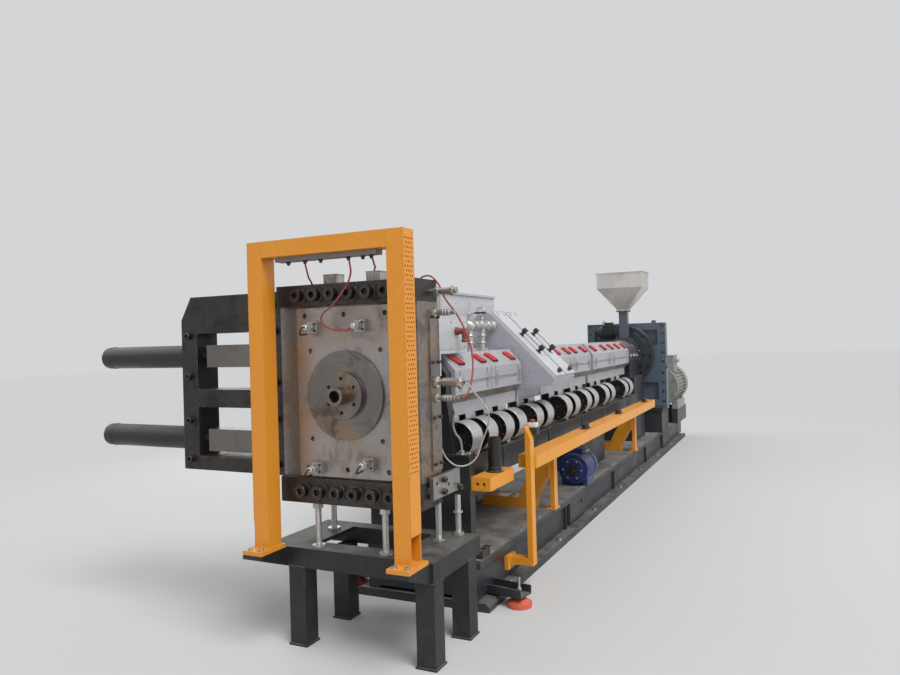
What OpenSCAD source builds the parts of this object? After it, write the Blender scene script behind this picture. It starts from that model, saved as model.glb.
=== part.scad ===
// Plastic extruder: screw line along Y, die end at the front (-Y), drive at the back.
// Millimetres, +Z up, floor at Z = 0. X = 0 inside the modules is the screw axis and
// Y = 0 the front of the guard portal; place() moves all to the middle of the footprint.

/* [Screw line] */
// Height of the screw axis above the floor
axis_z = 1292; // [1270:1:1310]
// Radius of the bare barrel
barrel_r = 115; // [90:1:122]
// Radius of the barrel's bolted flanges
barrel_flange_r = 165; // [145:1:175]
// Running clearance between round parts that sit in each other
seat_gap = 0.3; // [0.2:0.1:0.5]

/* [Screen changer] */
// Y of the front face of the polished face plate
plate_y = 180; // [170:1:200]
// Thickness of the face plate
plate_t = 20; // [15:1:30]
// Width of the face plate
plate_w = 580; // [540:2:620]
// Width of the steel block
block_w = 820; // [760:2:860]
// Depth of the steel block behind the face plate
block_d = 210; // [180:1:240]
// Lower edge of the bottom clamp bar
block_z0 = 730; // [710:1:750]
// Height of the block between the clamp bars
block_h = 880; // [840:2:900]
// Height of the bottom clamp bar
clamp_low_h = 130; // [110:1:140]
// Height of the top clamp bar
clamp_top_h = 110; // [90:1:125]
// How far the clamp bars stand in front of the face plate
clamp_proud = 10; // [5:1:20]
// Number of big screws in each clamp bar
clamp_bolts = 6; // [4:1:7]
// Distance between those screws
clamp_pitch = 105; // [95:1:115]
// Diameter of their heads
clamp_head_d = 66; // [50:1:80]
// Length of their heads
clamp_head_l = 44; // [30:1:55]
// Radius of the ring round the melt outlet
ring_r = 225; // [200:1:250]
// Radius of the melt outlet flange
outlet_flange_r = 118; // [100:1:130]
// Bore of the melt outlet
outlet_bore = 60; // [40:1:72]
// Outer diameter of the melt outlet stub
outlet_stub_d = 92; // [84:1:110]
// Length of the melt outlet stub
outlet_stub_l = 62; // [40:1:80]

/* [Yoke and cylinders] */
// How far the yoke reaches left of the block
yoke_l = 740; // [700:5:780]
// Width of the yoke's columns
yoke_col_w = 115; // [90:1:130]
// Thickness of the yoke
yoke_t = 160; // [120:2:180]
// Lower edge of the yoke
yoke_z0 = 850; // [830:1:880]
// Upper edge of the yoke
yoke_z1 = 1830; // [1800:1:1850]
// Distance between the two slide bars
slide_pitch = 474; // [440:2:500]
// Side of a square slide bar
slide_w = 125; // [100:1:140]
// Diameter of a hydraulic cylinder
cylinder_d = 132; // [100:1:150]
// Length of a hydraulic cylinder
cylinder_l = 700; // [600:5:800]

/* [Die table] */
// Height of the table top
table_z = 505; // [480:1:530]
// Right edge of the table from the screw axis
table_half_w = 490; // [480:1:520]
// Front edge of the table
table_y0 = 138; // [130:1:150]
// Depth of the table
table_d = 546; // [520:1:580]
// Depth of the frame under the top
apron_h = 100; // [80:1:120]
// Side of a table leg
leg_w = 100; // [80:1:110]
// How far the left legs stand in from the left edge
leg_inset = 140; // [100:1:160]

/* [Guard portal] */
// Outer width of the portal
portal_w = 906; // [890:2:920]
// Width of a post
post_w = 90; // [80:1:100]
// Depth of a post
post_d = 100; // [90:1:110]
// Sheet thickness of the portal
portal_wall = 6; // [4:1:8]
// Top of the portal
portal_top = 2065; // [2000:1:2100]
// Height of the cross beam
beam_h = 82; // [70:1:100]
// Thickness of the foot plates
foot_t = 20; // [12:1:25]
// Lower end of the perforated cover
grille_z0 = 655; // [620:1:700]
// Lowest row of holes
hole_z0 = 945; // [900:1:980]
// Distance between rows of holes
row_pitch = 21.5; // [20:0.5:40]
// Distance between the holes of a row
hole_pitch = 22; // [18:1:24]
// Diameter of a hole
hole_d = 10; // [6:1:12]

/* [Barrel covers] */
// Front end of the covers
cover_y0 = 1000; // [990:1:1020]
// Half width of a cover at its upright sides
cover_half_w = 220; // [210:1:235]
// Half height of the upright sides
cover_side_h = 75; // [60:1:85]
// Half width of the flat top
cover_top_w = 130; // [110:1:145]
// Top of the covers above the axis
cover_rise = 175; // [165:1:185]
// Bottom chamfer below the axis
cover_fall = 127; // [120:1:140]
// Half width of the air box under a cover
airbox_w = 165; // [160:1:180]
// Bottom of the air box below the axis
airbox_fall = 207; // [200:1:215]
// Length of each of the two front covers
cover_front_l = 555; // [530:1:560]
// Length of the third cover
cover_3_l = 785; // [740:1:790]
// Length of the fourth cover
cover_4_l = 570; // [540:1:580]
// Length of the fifth cover
cover_5_l = 740; // [700:1:760]
// Length of the sixth cover
cover_6_l = 865; // [820:1:880]
// Slit between neighbouring covers
cover_gap = 10; // [6:1:16]
// Open stretch at the barrel support
support_gap = 90; // [80:1:100]
// Slit between the halves of a cover
seam_gap = 2; // [1:1:4]

/* [Vent] */
// Gap between the covers and the vent housing
vent_gap = 30; // [20:1:40]
// Length of the vent housing
vent_l = 500; // [492:1:520]
// Height of the vent ridge
vent_top = 1740; // [1720:1:1760]
// Reach of the lower lip of the vent from the axis
vent_lip_x = 462; // [440:1:480]
// Thickness of a lid
lid_t = 22; // [15:1:30]
// Width of a lid
lid_w = 215; // [180:1:220]
// Height of the top of the casing over the front cover
casing_top = 1690; // [1660:1:1720]
// Height of the tall casing on the far side
tower_top = 1880; // [1850:1:1900]

/* [Blowers] */
// Distance of the blower shafts from the screw axis
blower_x = 225; // [215:1:235]
// Smallest radius of the scroll
scroll_r0 = 93; // [86:1:98]
// Largest radius of the scroll
scroll_r1 = 125; // [118:1:128]
// Width of one scroll
scroll_w = 140; // [120:1:144]
// Distance between the two scrolls of a blower
scroll_gap = 105; // [90:1:112]
// How far the side plates of a scroll are set back inside its band
scroll_inset = 30; // [10:1:40]
// Thickness of the band
band_t = 5; // [4:1:10]
// Radius of the blower motor
blower_motor_r = 60; // [50:1:75]

/* [Feed and drive] */
// Length of the feed section
feed_l = 690; // [680:1:720]
// Y distance of the feed throat from the gearbox flange
throat_y = 110; // [106:1:150]
// Sideways offset of the feed throat
throat_x = 45; // [0:1:60]
// Side of the square feed throat
throat_w = 100; // [90:1:120]
// Top of the feed throat
throat_top = 1850; // [1820:1:1880]
// Width of the hopper mouth
hopper_w = 560; // [500:1:600]
// Depth of the hopper mouth
hopper_d = 400; // [360:1:440]
// Height of the upright hopper wall
hopper_wall_h = 190; // [160:1:210]
// Height of the tapered hopper part
hopper_cone_h = 280; // [260:1:320]
// Sheet thickness of the hopper
hopper_t = 6; // [4:1:8]
// Radius of the dark flange of the gearbox
disc_r = 370; // [350:1:380]
// Thickness of that flange
disc_t = 170; // [150:1:180]
// Width of the gearbox
gear_w = 1000; // [960:2:1040]
// Depth of the gearbox
gear_d = 560; // [520:1:600]
// Lower face of the gearbox
gear_z0 = 600; // [580:1:620]
// Upper face of the gearbox
gear_z1 = 1690; // [1670:1:1720]
// Sideways offset of the motor shaft
motor_x = 200; // [180:1:220]
// Height of the motor shaft
motor_z = 800; // [780:1:820]
// Radius of the motor over its fins
motor_r = 290; // [270:1:300]
// Length of the motor body
motor_l = 1000; // [900:5:1100]
// Length of the coupling guard
guard_l = 450; // [400:1:500]

/* [Base] */
// Half width of the base frame
base_half_w = 385; // [375:1:395]
// Front end of the base frame
base_y0 = 915; // [905:1:925]
// Height of the base frame's deck
deck_z = 285; // [275:1:295]
// Thickness of the deck plate
deck_t = 15; // [10:1:20]
// Height of the floor rails
rail_h = 50; // [40:1:60]
// Outer edge of a floor rail from the axis
floor_rail_x = 440; // [430:1:450]
// Half width of the front pedestal
pedestal_half_w = 335; // [325:1:345]
// Depth of the front pedestal
pedestal_d = 70; // [60:1:78]
// Height of the pedestal's top flange
pedestal_z = 886; // [876:1:896]
// Distance of a levelling bolt from the axis
level_x = 556; // [540:1:570]
// Y of the levelling bolts
level_y = 1073; // [1060:1:1090]
// Radius of a levelling pad
pad_r = 73; // [60:1:80]
// Diameter of a levelling bolt
level_d = 16; // [12:1:24]
// Height of the arms' lower face
arm_z = 62; // [58:1:70]
// Width of an arm
arm_w = 124; // [100:1:130]

/* [Side rail] */
// Outer face of the side rail from the axis
side_x = 555; // [545:1:565]
// Width of the side rail
side_w = 120; // [100:1:130]
// Lower face of the side rail
side_z = 732; // [720:1:740]
// Height of the side rail
side_h = 80; // [70:1:90]
// Front end of the side rail
side_y0 = 1440; // [1425:1:1455]
// Length of the side rail
side_l = 4040; // [3900:1:4100]
// Width of the front post
jpost_w = 35; // [30:1:45]
// Depth of the front post
jpost_d = 67; // [50:1:80]
// Y of the two posts on the deck
post_2_y = 2280; // [2230:1:2330]
post_3_y = 5133; // [5080:1:5180]

/* [Cables] */
// Diameter of a heater cable
lead_d = 9; // [6:0.5:12]
// Diameter of the sensor cable
sensor_d = 8; // [6:0.5:9]

/* [Hidden] */
$fn = 64;

// Places along Y, from the die to the motor
block_y0 = plate_y + plate_t;
block_y1 = block_y0 + block_d;
cover_2_y = cover_y0 + cover_front_l + cover_gap;
vent_y0 = cover_2_y + cover_front_l + vent_gap;
cover_3_y = vent_y0 + vent_l + vent_gap;
cover_4_y = cover_3_y + cover_3_l + cover_gap;
support_y = cover_4_y + cover_4_l;
cover_5_y = support_y + support_gap;
cover_6_y = cover_5_y + cover_5_l + cover_gap;
feed_y0 = cover_6_y + cover_6_l + cover_gap;
disc_y0 = feed_y0 + feed_l;
gear_y0 = disc_y0 + disc_t;
gear_y1 = gear_y0 + gear_d;
motor_y0 = gear_y1 + guard_l;
motor_y1 = motor_y0 + motor_l;
base_y1 = motor_y1 + 20;
throat_cy = disc_y0 - throat_y;

// Heights
cover_top_z = axis_z + cover_rise;
airbox_z = axis_z - airbox_fall;
blower_z = airbox_z - scroll_r0 - 25;
tray_z = blower_z - scroll_r1 + 7;
block_z1 = block_z0 + clamp_low_h;
block_z2 = block_z1 + block_h;
base_z0 = rail_h;
web_x = base_half_w - 25;
slide_z = axis_z - 37;
hopper_z1 = throat_top + hopper_cone_h;

// Footprint, for the origin in its middle
foot_front = -64;
reach_left = -block_w / 2 - yoke_l - cylinder_l;
reach_right = level_x + pad_r;
mid_x = (reach_left + reach_right) / 2;
mid_y = (foot_front + base_y1) / 2;

// Middle of each blower, from the front end of the zone that it cools
zone_y = [cover_y0, cover_2_y, vent_y0, cover_3_y, cover_4_y, cover_5_y, cover_6_y];
blower_half_l = scroll_gap / 2 + scroll_w;
blower_offset = [base_y0 + pedestal_d + blower_half_l + 5 - cover_y0, 150, 175, 395, 220, 235, 350];

module place() translate([-mid_x, -mid_y, 0]) children();

// Box between two values on each axis
module block(x, y, z)
    translate([x[0], y[0], z[0]]) cube([x[1] - x[0], y[1] - y[0], z[1] - z[0]]);

// Round bars along each axis, from a start point
module rod_x(p, d, l) translate(p) rotate([0, 90, 0]) cylinder(d = d, h = l);
module rod_y(p, d, l) translate(p) rotate([-90, 0, 0]) cylinder(d = d, h = l);
module rod_z(p, d, l) translate(p) cylinder(d = d, h = l);

// Outline in the X-Z plane carried along Y, and outline in the Y-Z plane carried along X
module along_y(y0, y1) translate([0, y1, 0]) rotate([90, 0, 0]) linear_extrude(y1 - y0) children();
module along_x(x0, x1) translate([x0, 0, 0]) rotate([90, 0, 90]) linear_extrude(x1 - x0) children();

// The same piece on both sides of the screw axis
module both_sides() {
    children();
    mirror([1, 0, 0]) children();
}

module floor_rails() color("dimgray") place() {
    bar_y = [base_y0 - 15, base_y0 + 115];
    both_sides() block([330, floor_rail_x], [bar_y[1], base_y1 - 160], [0, rail_h]);
    along_y(bar_y[0], bar_y[1]) polygon([[-floor_rail_x, 0], [floor_rail_x, 0],
        [floor_rail_x, rail_h - 20], [floor_rail_x - 20, rail_h],
        [20 - floor_rail_x, rail_h], [-floor_rail_x, rail_h - 20]]);
}

// Two long beams with cross members, end plates, levelling arms and lifting lugs
module base_frame() color("dimgray") place() {
    top = deck_z - deck_t;
    both_sides() {
        block([web_x - 75, web_x], [base_y0, base_y1], [base_z0, top]);
        block([web_x - 1, base_half_w], [base_y0, base_y1], [top - 35, top]);
        for (y = [2586, 4190, 5800, 7400])
            block([web_x - 1, base_half_w - 2], [y, y + 12], [base_z0, top - 34]);
        for (y = [2680, 6900]) lifting_lug(y);
        levelling_arm();
    }
    for (y = [base_y0, 2000, 3100, 4200, 5300, 6400, 7500, base_y1 - 60])
        block([74 - web_x, web_x - 74], [y, y + 60], [base_z0 + 20, top]);
    motor_stand();
    gearbox_foot();
}

// Plate in front of the web, held by a rib at each end
module lifting_lug(y) {
    z = [75, deck_z - deck_t - 34];
    difference() {
        block([base_half_w - 14, base_half_w], [y, y + 480], z);
        rod_x([base_half_w - 20, y + 330, 180], 48, 30);
    }
    for (q = [y, y + 468]) block([web_x - 1, base_half_w - 13], [q, q + 12], z);
}

// Channel arm that carries a levelling bolt, turned towards the front
module levelling_arm() difference() {
    t = 8;
    translate([level_x, level_y, arm_z]) rotate([0, 0, -10]) difference() {
        block([web_x - level_x - 60, 45], [-arm_w / 2, arm_w / 2], [0, 50]);
        block([web_x - level_x - 61, 46], [t - arm_w / 2, arm_w / 2 - t], [t, 51]);
        rod_z([0, 0, -1], level_d + 2, 20);
    }
    block([web_x - 200, web_x], [level_y - 200, level_y + 200], [0, 200]);
}

// Welded box that lifts the motor to its shaft height
module motor_stand() {
    top = motor_z - motor_r - 25;
    for (x = [motor_x - 260, motor_x + 180])
        block([x, x + 80], [motor_y0 + 80, motor_y1 - 120], [deck_z, top]);
    block([motor_x - 180, motor_x + 180], [motor_y0 + 180, motor_y0 + 260], [deck_z, top]);
    block([motor_x - 180, motor_x + 180], [motor_y1 - 300, motor_y1 - 220], [deck_z, top]);
}

// Dark plinth under the gearbox
module gearbox_foot() {
    w = gear_w / 2 - 75;
    block([-w, w], [gear_y0 + 40, gear_y1 - 30], [deck_z, gear_z0 - 40]);
    block([-w - 15, w + 15], [gear_y0 + 20, gear_y1 - 10], [gear_z0 - 40, gear_z0]);
}

module deck_plate() color("gray") place() difference() {
    block([-base_half_w, base_half_w], [base_y0, base_y1], [deck_z - deck_t, deck_z]);
    for (x = [-300, 300]) block([x - 25, x + 25], [1180, 1230], [0, deck_z + 10]);
}

// Pads on the floor, each with its threaded bolt and the nuts on both faces of the arm
module levelling_feet() color("tomato") place() both_sides() translate([level_x, level_y, 0]) {
    cylinder(r = pad_r, h = 26);
    translate([0, 0, 26]) cylinder(r1 = pad_r - 3, r2 = 40, h = 20);
    cylinder(d = level_d, h = arm_z + 105);
    for (z = [arm_z + 8, arm_z + 30]) translate([0, 0, z]) cylinder(d = level_d * 1.9, h = 13, $fn = 6);
}

// Welded column under the front of the barrel, with the eight-sided saddle plate
module front_pedestal() color("#23262b") place() {
    y = [base_y0, base_y0 + pedestal_d];
    w = pedestal_half_w;
    a = axis_z;
    block([-w, w], y, [deck_z, pedestal_z - 16]);
    block([-w - 25, w], [y[0] - 15, y[1]], [pedestal_z - 16, pedestal_z]);
    difference() {
        along_y(y[0], y[1]) polygon([[-240, pedestal_z], [240, pedestal_z], [200, a - 90],
            [200, a + 60], [cover_top_w, a + 150], [-cover_top_w, a + 150], [-200, a + 60], [-200, a - 90]]);
        rod_y([0, y[0] - 1, a], 2 * (barrel_r + seat_gap), pedestal_d + 2);
    }
    both_sides() difference() {
        block([w - 1, base_half_w], [y[0] + 35, y[0] + 150], [deck_z, deck_z + 40]);
        rod_z([(w + base_half_w) / 2, y[0] + 110, deck_z - 1], 0.6 * (base_half_w - w), 42);
    }
}

// Boxes under the barrel support and the feed section
module rear_pedestals() color("#23262b") place() {
    block([-220, 210], [support_y - 345, support_y + 485], [deck_z, tray_z - 155]);
    block([-260, 260], [feed_y0 + 60, disc_y0 - 60], [deck_z, axis_z - 250]);
    difference() {
        block([-200, 200], [feed_y0 + 120, disc_y0 - 120], [axis_z - 250, axis_z - 60]);
        rod_y([0, feed_y0, axis_z], 2 * (190 + seat_gap), feed_l);
    }
    difference() {
        block([-150, 150], [support_y + 15, support_y + support_gap - 15], [tray_z, axis_z]);
        rod_y([0, support_y, axis_z], 2 * (barrel_r + seat_gap), support_gap);
    }
}

// Closed air duct under the blowers
module fan_tray() color("#26282c") place()
    block([-200, 300], [base_y0 + pedestal_d, feed_y0 + 60], [tray_z - 155, tray_z]);

// Barrel turned along Y, with flanges at the joints of its sections
module barrel() color("darkgray") place() {
    rod_y([0, block_y1, axis_z], 2 * barrel_r, feed_y0 - block_y1);
    flange_y = [block_y1, block_y1 + 70, base_y0 - 110];
    for (y = flange_y) rod_y([0, y, axis_z], 2 * barrel_flange_r, 60);
}

// Half outline of a cover; hi = true gives the upper half
module cover_outline(hi) {
    s = seam_gap / 2;
    w = cover_half_w;
    a = axis_z;
    if (hi) polygon([[-w, a + s], [w, a + s], [w, a + cover_side_h],
        [cover_top_w, a + cover_rise], [-cover_top_w, a + cover_rise], [-w, a + cover_side_h]]);
    else polygon([[-w, a - s], [w, a - s], [w, a - cover_side_h], [airbox_w, a - cover_fall],
        [airbox_w, airbox_z], [-airbox_w, airbox_z], [-airbox_w, a - cover_fall],
        [-w, a - cover_side_h]]);
}

// One heating and cooling zone: two half shells that close round the barrel
module barrel_cover(y0, l) color("lavender") place() difference() {
    union() {
        along_y(y0, y0 + l) cover_outline(true);
        along_y(y0, y0 + l) cover_outline(false);
    }
    rod_y([0, y0 - 1, axis_z], 2 * (barrel_r + seat_gap), l + 2);
}
module barrel_cover_1() barrel_cover(cover_y0, cover_front_l);
module barrel_cover_2() barrel_cover(cover_2_y, cover_front_l);
module barrel_cover_3() barrel_cover(cover_3_y, cover_3_l);
module barrel_cover_4() barrel_cover(cover_4_y, cover_4_l);
module barrel_cover_5() barrel_cover(cover_5_y, cover_5_l);
module barrel_cover_6() barrel_cover(cover_6_y, cover_6_l);

// Start and length of each cover, front to back
cover_list = [[cover_y0, cover_front_l], [cover_2_y, cover_front_l], [cover_3_y, cover_3_l],
    [cover_4_y, cover_4_l], [cover_5_y, cover_5_l], [cover_6_y, cover_6_l]];

// Toggle latches over the seams, two on each side of a cover
module cover_latches() color("silver") place() both_sides()
    for (c = cover_list) for (t = [0.12, 0.88]) {
        y = c[0] + t * c[1];
        block([cover_half_w, cover_half_w + 8], [y - 16, y + 16], [axis_z - 48, axis_z + 30]);
        block([cover_half_w + 8, cover_half_w + 16], [y - 8, y + 8], [axis_z - 40, axis_z + 20]);
    }

// Pairs of red plugs that lie aslant on the upper chamfers: cover and place along it
plug_list = [[1, 0.2], [1, 0.8], [2, 0.15], [2, 0.75], [3, 0.12], [3, 0.5], [3, 0.88], [4, 0.2], [4, 0.75],
    [5, 0.2], [5, 0.75], [6, 0.15], [6, 0.5], [6, 0.85]];
chamfer_a = atan2(cover_rise - cover_side_h, cover_half_w - cover_top_w);
module heater_plugs() color("crimson") place() both_sides()
    for (p = plug_list) for (k = [-22, 22]) {
        c = cover_list[p[0] - 1];
        translate([cover_half_w, c[0] + p[1] * c[1] + k, axis_z + cover_side_h])
            rotate([0, chamfer_a - 90, 0]) translate([0, 0, 67]) rotate([45, 0, 0]) plug_bar();
    }
module plug_bar() {
    translate([10, 0, -43]) cylinder(d = 20, h = 86);
    for (z = [-43, 43]) translate([10, 0, z]) sphere(d = 20);
    block([0, 10], [-6, 6], [-43, 43]);
}

// Spiral outline of a scroll, from the tongue at 125 degrees clockwise round to the left
function scroll_r(t) = scroll_r0 + (scroll_r1 - scroll_r0) * t;
function scroll_points(inset) = [for (i = [0 : 30]) let (t = i / 30, a = 125 - 305 * t)
    [(scroll_r(t) - inset) * cos(a), (scroll_r(t) - inset) * sin(a)]];
module scroll_outline(inset) {
    up = airbox_z - blower_z;
    polygon(concat(scroll_points(inset), [[inset - scroll_r1, up - (inset > 0 ? 12 : 0)],
        [scroll_r0 * cos(125) - inset, up - (inset > 0 ? 12 : 0)]]));
}

// One scroll with its side plates set back inside the band
module scroll(y0) difference() {
    along_y(y0, y0 + scroll_w) scroll_outline(0);
    along_y(y0 - 1, y0 + scroll_inset) scroll_outline(band_t);
    along_y(y0 + scroll_w - scroll_inset, y0 + scroll_w + 1) scroll_outline(band_t);
    rod_y([0, y0 - 1, 0], 110, scroll_inset + 16);
}

// Double blower: a motor between two scrolls, blowing up into the air box
module blower(i) color("#2b2b2d") place()
    translate([blower_x, zone_y[i] + blower_offset[i], blower_z]) {
        half = scroll_gap / 2;
        scroll(-half - scroll_w);
        scroll(half);
        rod_y([0, -half - scroll_inset - 1, 0], 2 * blower_motor_r, scroll_gap + 2 * scroll_inset + 2);
        block([-40, 40], [-30, 30], [tray_z - blower_z, 0]);
    }
module blower_1() blower(0);
module blower_2() blower(1);
module blower_3() blower(2);
module blower_4() blower(3);
module blower_5() blower(4);
module blower_6() blower(5);
module blower_7() blower(6);

// Lean-to housing over the vent of the barrel
module vent_housing() color("lightgray") place() difference() {
    a = axis_z;
    along_y(vent_y0, vent_y0 + vent_l) polygon([[-cover_half_w, a - cover_fall],
        [-cover_half_w, vent_top - 120], [-120, vent_top], [-30, vent_top],
        [vent_lip_x, vent_top - (vent_lip_x + 30)], [vent_lip_x - 20, a - 90],
        [airbox_w + 10, a - cover_fall], [airbox_w, airbox_z], [-airbox_w, airbox_z],
        [-airbox_w, a - cover_fall]]);
    rod_y([0, vent_y0 - 1, a], 2 * (barrel_r + seat_gap), vent_l + 2);
}

// Two lids on the slope, each with a tubular handle
module vent_lids() color("white") place() for (k = [0, 1]) {
    y0 = vent_y0 + 15 + k * (lid_w + 40);
    long = (vent_lip_x + 30) * sqrt(2);
    translate([-30, y0, vent_top]) rotate([0, 45, 0]) {
        block([12, long - 8], [0, lid_w], [0, lid_t]);
        for (x = [0.38, 0.64]) translate([long * x, lid_w / 2, lid_t]) cylinder(d = 22, h = 42);
        rod_x([long * 0.38 - 17, lid_w / 2, lid_t + 42], 24, long * 0.26 + 34);
    }
}

// Stainless suction pipe from the cover to the vent housing, with its valve
module vacuum_pipe() color("silver") place() {
    z = cover_top_z + 172;
    y0 = cover_2_y + 30;
    rod_z([0, y0, cover_top_z], 56, z - cover_top_z);
    translate([0, y0, z]) sphere(d = 66);
    rod_y([0, y0, z], 56, vent_y0 - y0);
    for (y = [y0 + 120, y0 + 330]) {
        rod_z([0, y, cover_top_z], 44, z - cover_top_z);
        rod_z([0, y, cover_top_z], 90, 12);
    }
    translate([0, y0 + 120, z]) sphere(d = 84);
    rod_z([0, y0 + 120, z], 30, 80);
}

// Sheet casing over the front of the barrel
module front_casing() color("gainsboro") place() difference() {
    union() {
        block([-200, 200], [base_y0 - 145, cover_y0 + 225], [cover_top_z, casing_top]);
        block([-200, 200], [base_y0 - 145, base_y0 - 55], [axis_z + 50, cover_top_z + 1]);
        rod_x([200, cover_y0 + 65, casing_top - 92], 34, 55);
        translate([255, cover_y0 + 65, casing_top - 92]) sphere(d = 40);
    }
    rod_y([0, base_y0 - 200, axis_z], 2 * (barrel_flange_r + seat_gap), 200);
}

// Tall casing on the deck, on the far side of the barrel
module tower_casing() color("gainsboro") place() {
    x1 = -cover_half_w - 20;
    y = [vent_y0 - 400, vent_y0 + 600];
    block([x1 - 260, x1], y, [deck_z, tower_top]);
    block([x1 - 275, x1 + 10], [y[0] - 10, y[1] + 10], [tower_top, tower_top + 18]);
}

// Feed section of the barrel
module feed_section() color("#303338") place() {
    rod_y([0, feed_y0, axis_z], 2 * barrel_flange_r, 50);
    rod_y([0, feed_y0 + 50, axis_z], 300, 70);
    rod_y([0, feed_y0 + 120, axis_z], 380, feed_l - 120);
    block([throat_x - throat_w / 2 - 40, throat_x + throat_w / 2 + 40],
        [throat_cy - 102, throat_cy + 102], [axis_z, axis_z + 215]);
}

module feed_throat() color("#39424c") place() translate([throat_x, 0, 0]) {
    t = throat_w / 2;
    z0 = axis_z + 215;
    difference() {
        block([-t, t], [throat_cy - t, throat_cy + t], [z0, throat_top]);
        block([10 - t, t - 10], [throat_cy - t + 10, throat_cy + t - 10], [z0 + 40, throat_top + 1]);
    }
    difference() {
        block([-t - 25, t + 25], [throat_cy - t - 25, throat_cy + t + 25], [throat_top - 12, throat_top]);
        block([10 - t, t - 10], [throat_cy - t + 10, throat_cy + t - 10], [z0 + 40, throat_top + 1]);
    }
}

// Four-sided funnel between two rectangles, centred, from z0 to z1
module funnel(w0, d0, z0, w1, d1, z1) hull() {
    translate([-w0 / 2, -d0 / 2, z0]) cube([w0, d0, 0.01]);
    translate([-w1 / 2, -d1 / 2, z1 - 0.01]) cube([w1, d1, 0.01]);
}

module hopper() color("whitesmoke") place() translate([throat_x, throat_cy, 0]) {
    t = hopper_t;
    b = throat_w + 2 * t;
    top = hopper_z1 + hopper_wall_h;
    difference() {
        union() {
            funnel(b, b, throat_top, hopper_w, hopper_d, hopper_z1);
            block([-hopper_w / 2, hopper_w / 2], [-hopper_d / 2, hopper_d / 2], [hopper_z1, top]);
            block([-hopper_w / 2 - 15, hopper_w / 2 + 15], [-hopper_d / 2 - 15, hopper_d / 2 + 15],
                [top - 8, top]);
            block([-b / 2 - 18, b / 2 + 18], [-b / 2 - 18, b / 2 + 18], [throat_top, throat_top + 10]);
        }
        funnel(b - 2 * t, b - 2 * t, throat_top - 0.01, hopper_w - 2 * t, hopper_d - 2 * t,
            hopper_z1 + 0.02);
        block([t - hopper_w / 2, hopper_w / 2 - t], [t - hopper_d / 2, hopper_d / 2 - t],
            [hopper_z1, top + 1]);
    }
}

// Motor of the feeder beside the throat
module feeder_drive() color("#1d1f22") place() {
    x = throat_x - throat_w / 2;
    z = axis_z + 290;
    block([x - 30, x], [throat_cy - 55, throat_cy + 55], [z - 60, z + 60]);
    rod_x([x - 250, throat_cy, z], 150, 220);
    rod_x([x - 280, throat_cy, z], 120, 30);
    block([x - 190, x - 90], [throat_cy - 45, throat_cy + 45], [z + 60, z + 120]);
}

// Round bearing housing between the feed section and the gearbox
module gearbox_flange() color("#2b3036") place() {
    rod_y([0, disc_y0 + 40, axis_z], 2 * disc_r, disc_t - 40);
    rod_y([0, disc_y0 + 15, axis_z], 2 * (disc_r - 60), 25);
    rod_y([0, disc_y0, axis_z], 2 * 215, 15);
}

// Cast housing: wide front part with pockets, narrower body behind it, split flange and feet
module gearbox() color("#4a5a68") place() {
    w = gear_w / 2;
    y = [gear_y0, gear_y0 + 130];
    difference() {
        union() {
            block([30 - w, w - 30], y, [gear_z0 + 30, gear_z1 - 30]);
            for (z = [gear_z0, gear_z1 - 40]) block([-w, w], [y[0] + 15, y[1] - 10], [z, z + 40]);
            for (x = [-w, w - 70]) block([x, x + 70], [y[0] + 8, y[1] - 5], [gear_z0, gear_z1]);
            block([-w - 15, w + 15], [y[0] + 25, y[1] - 20], [axis_z - 190, axis_z - 140]);
            block([75 - w, w - 75], [y[1] - 1, gear_y1], [gear_z0, gear_z1 - 20]);
            block([45 - w, w - 45], [y[1] - 1, gear_y1 - 15], [axis_z - 190, axis_z - 140]);
            for (q = [y[1] + 100, y[1] + 250]) block([60 - w, w - 60], [q, q + 24], [gear_z0, gear_z1 - 5]);
        }
        for (x = [100 - w, w - 300]) {
            block([x, x + 200], [y[0] - 1, y[0] + 40], [gear_z1 - 280, gear_z1 - 90]);
            block([x, x + 200], [y[0] - 1, y[0] + 40], [gear_z0 + 110, gear_z0 + 330]);
        }
    }
}

// Guard over the coupling
module coupling_guard() color("#4a5a68") place() {
    r = 150;
    rod_y([motor_x, gear_y1, motor_z], 2 * r, guard_l);
    block([motor_x - 120, motor_x + 120], [gear_y1 + 60, motor_y0 - 60], [deck_z, motor_z]);
}

// Finned motor with end shields, terminal box and fan cowl
module main_motor() color("#8b8f86") place() translate([motor_x, motor_y0, motor_z]) {
    r = motor_r - 35;
    rod_y([0, 60, 0], 2 * r, motor_l - 260);
    rod_y([0, 0, 0], 2 * motor_r, 60);
    rod_y([0, motor_l - 200, 0], 2 * motor_r - 10, 200);
    for (i = [0 : 35]) rotate([0, i * 10, 0]) block([-4, 4], [60, motor_l - 200], [r - 5, motor_r - 8]);
    block([-190, 190], [300, 620], [r - 60, motor_r + 130]);
    for (x = [-260, 180]) block([x, x + 80], [100, motor_l - 240], [-motor_r - 25, -motor_r + 90]);
}

module die_table() color("#33363a") place() {
    x = [-table_half_w, table_half_w];
    y = [table_y0, table_y0 + table_d];
    z0 = table_z - apron_h;
    difference() {
        block(x, y, [z0, table_z]);
        block([x[0] + 60, x[1] - 60], [y[0] + 60, y[1] - 60], [z0 - 1, table_z - 15]);
        block([-250, 250], [y[0] + 130, y[1] - 90], [z0 - 1, table_z + 1]);
    }
    for (lx = [x[0] + leg_inset, x[1] - leg_w]) for (ly = [y[0], y[1] - leg_w - 57]) {
        block([lx, lx + leg_w], [ly, ly + leg_w], [0, z0]);
        block([lx - 6, lx + leg_w + 6], [ly - 6, ly + leg_w + 6], [0, 10]);
    }
    both_sides() along_x(355, 474) polygon([[foot_front, table_z], [foot_front, table_z - 22],
        [y[0], z0], [y[0], table_z]]);
}

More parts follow.
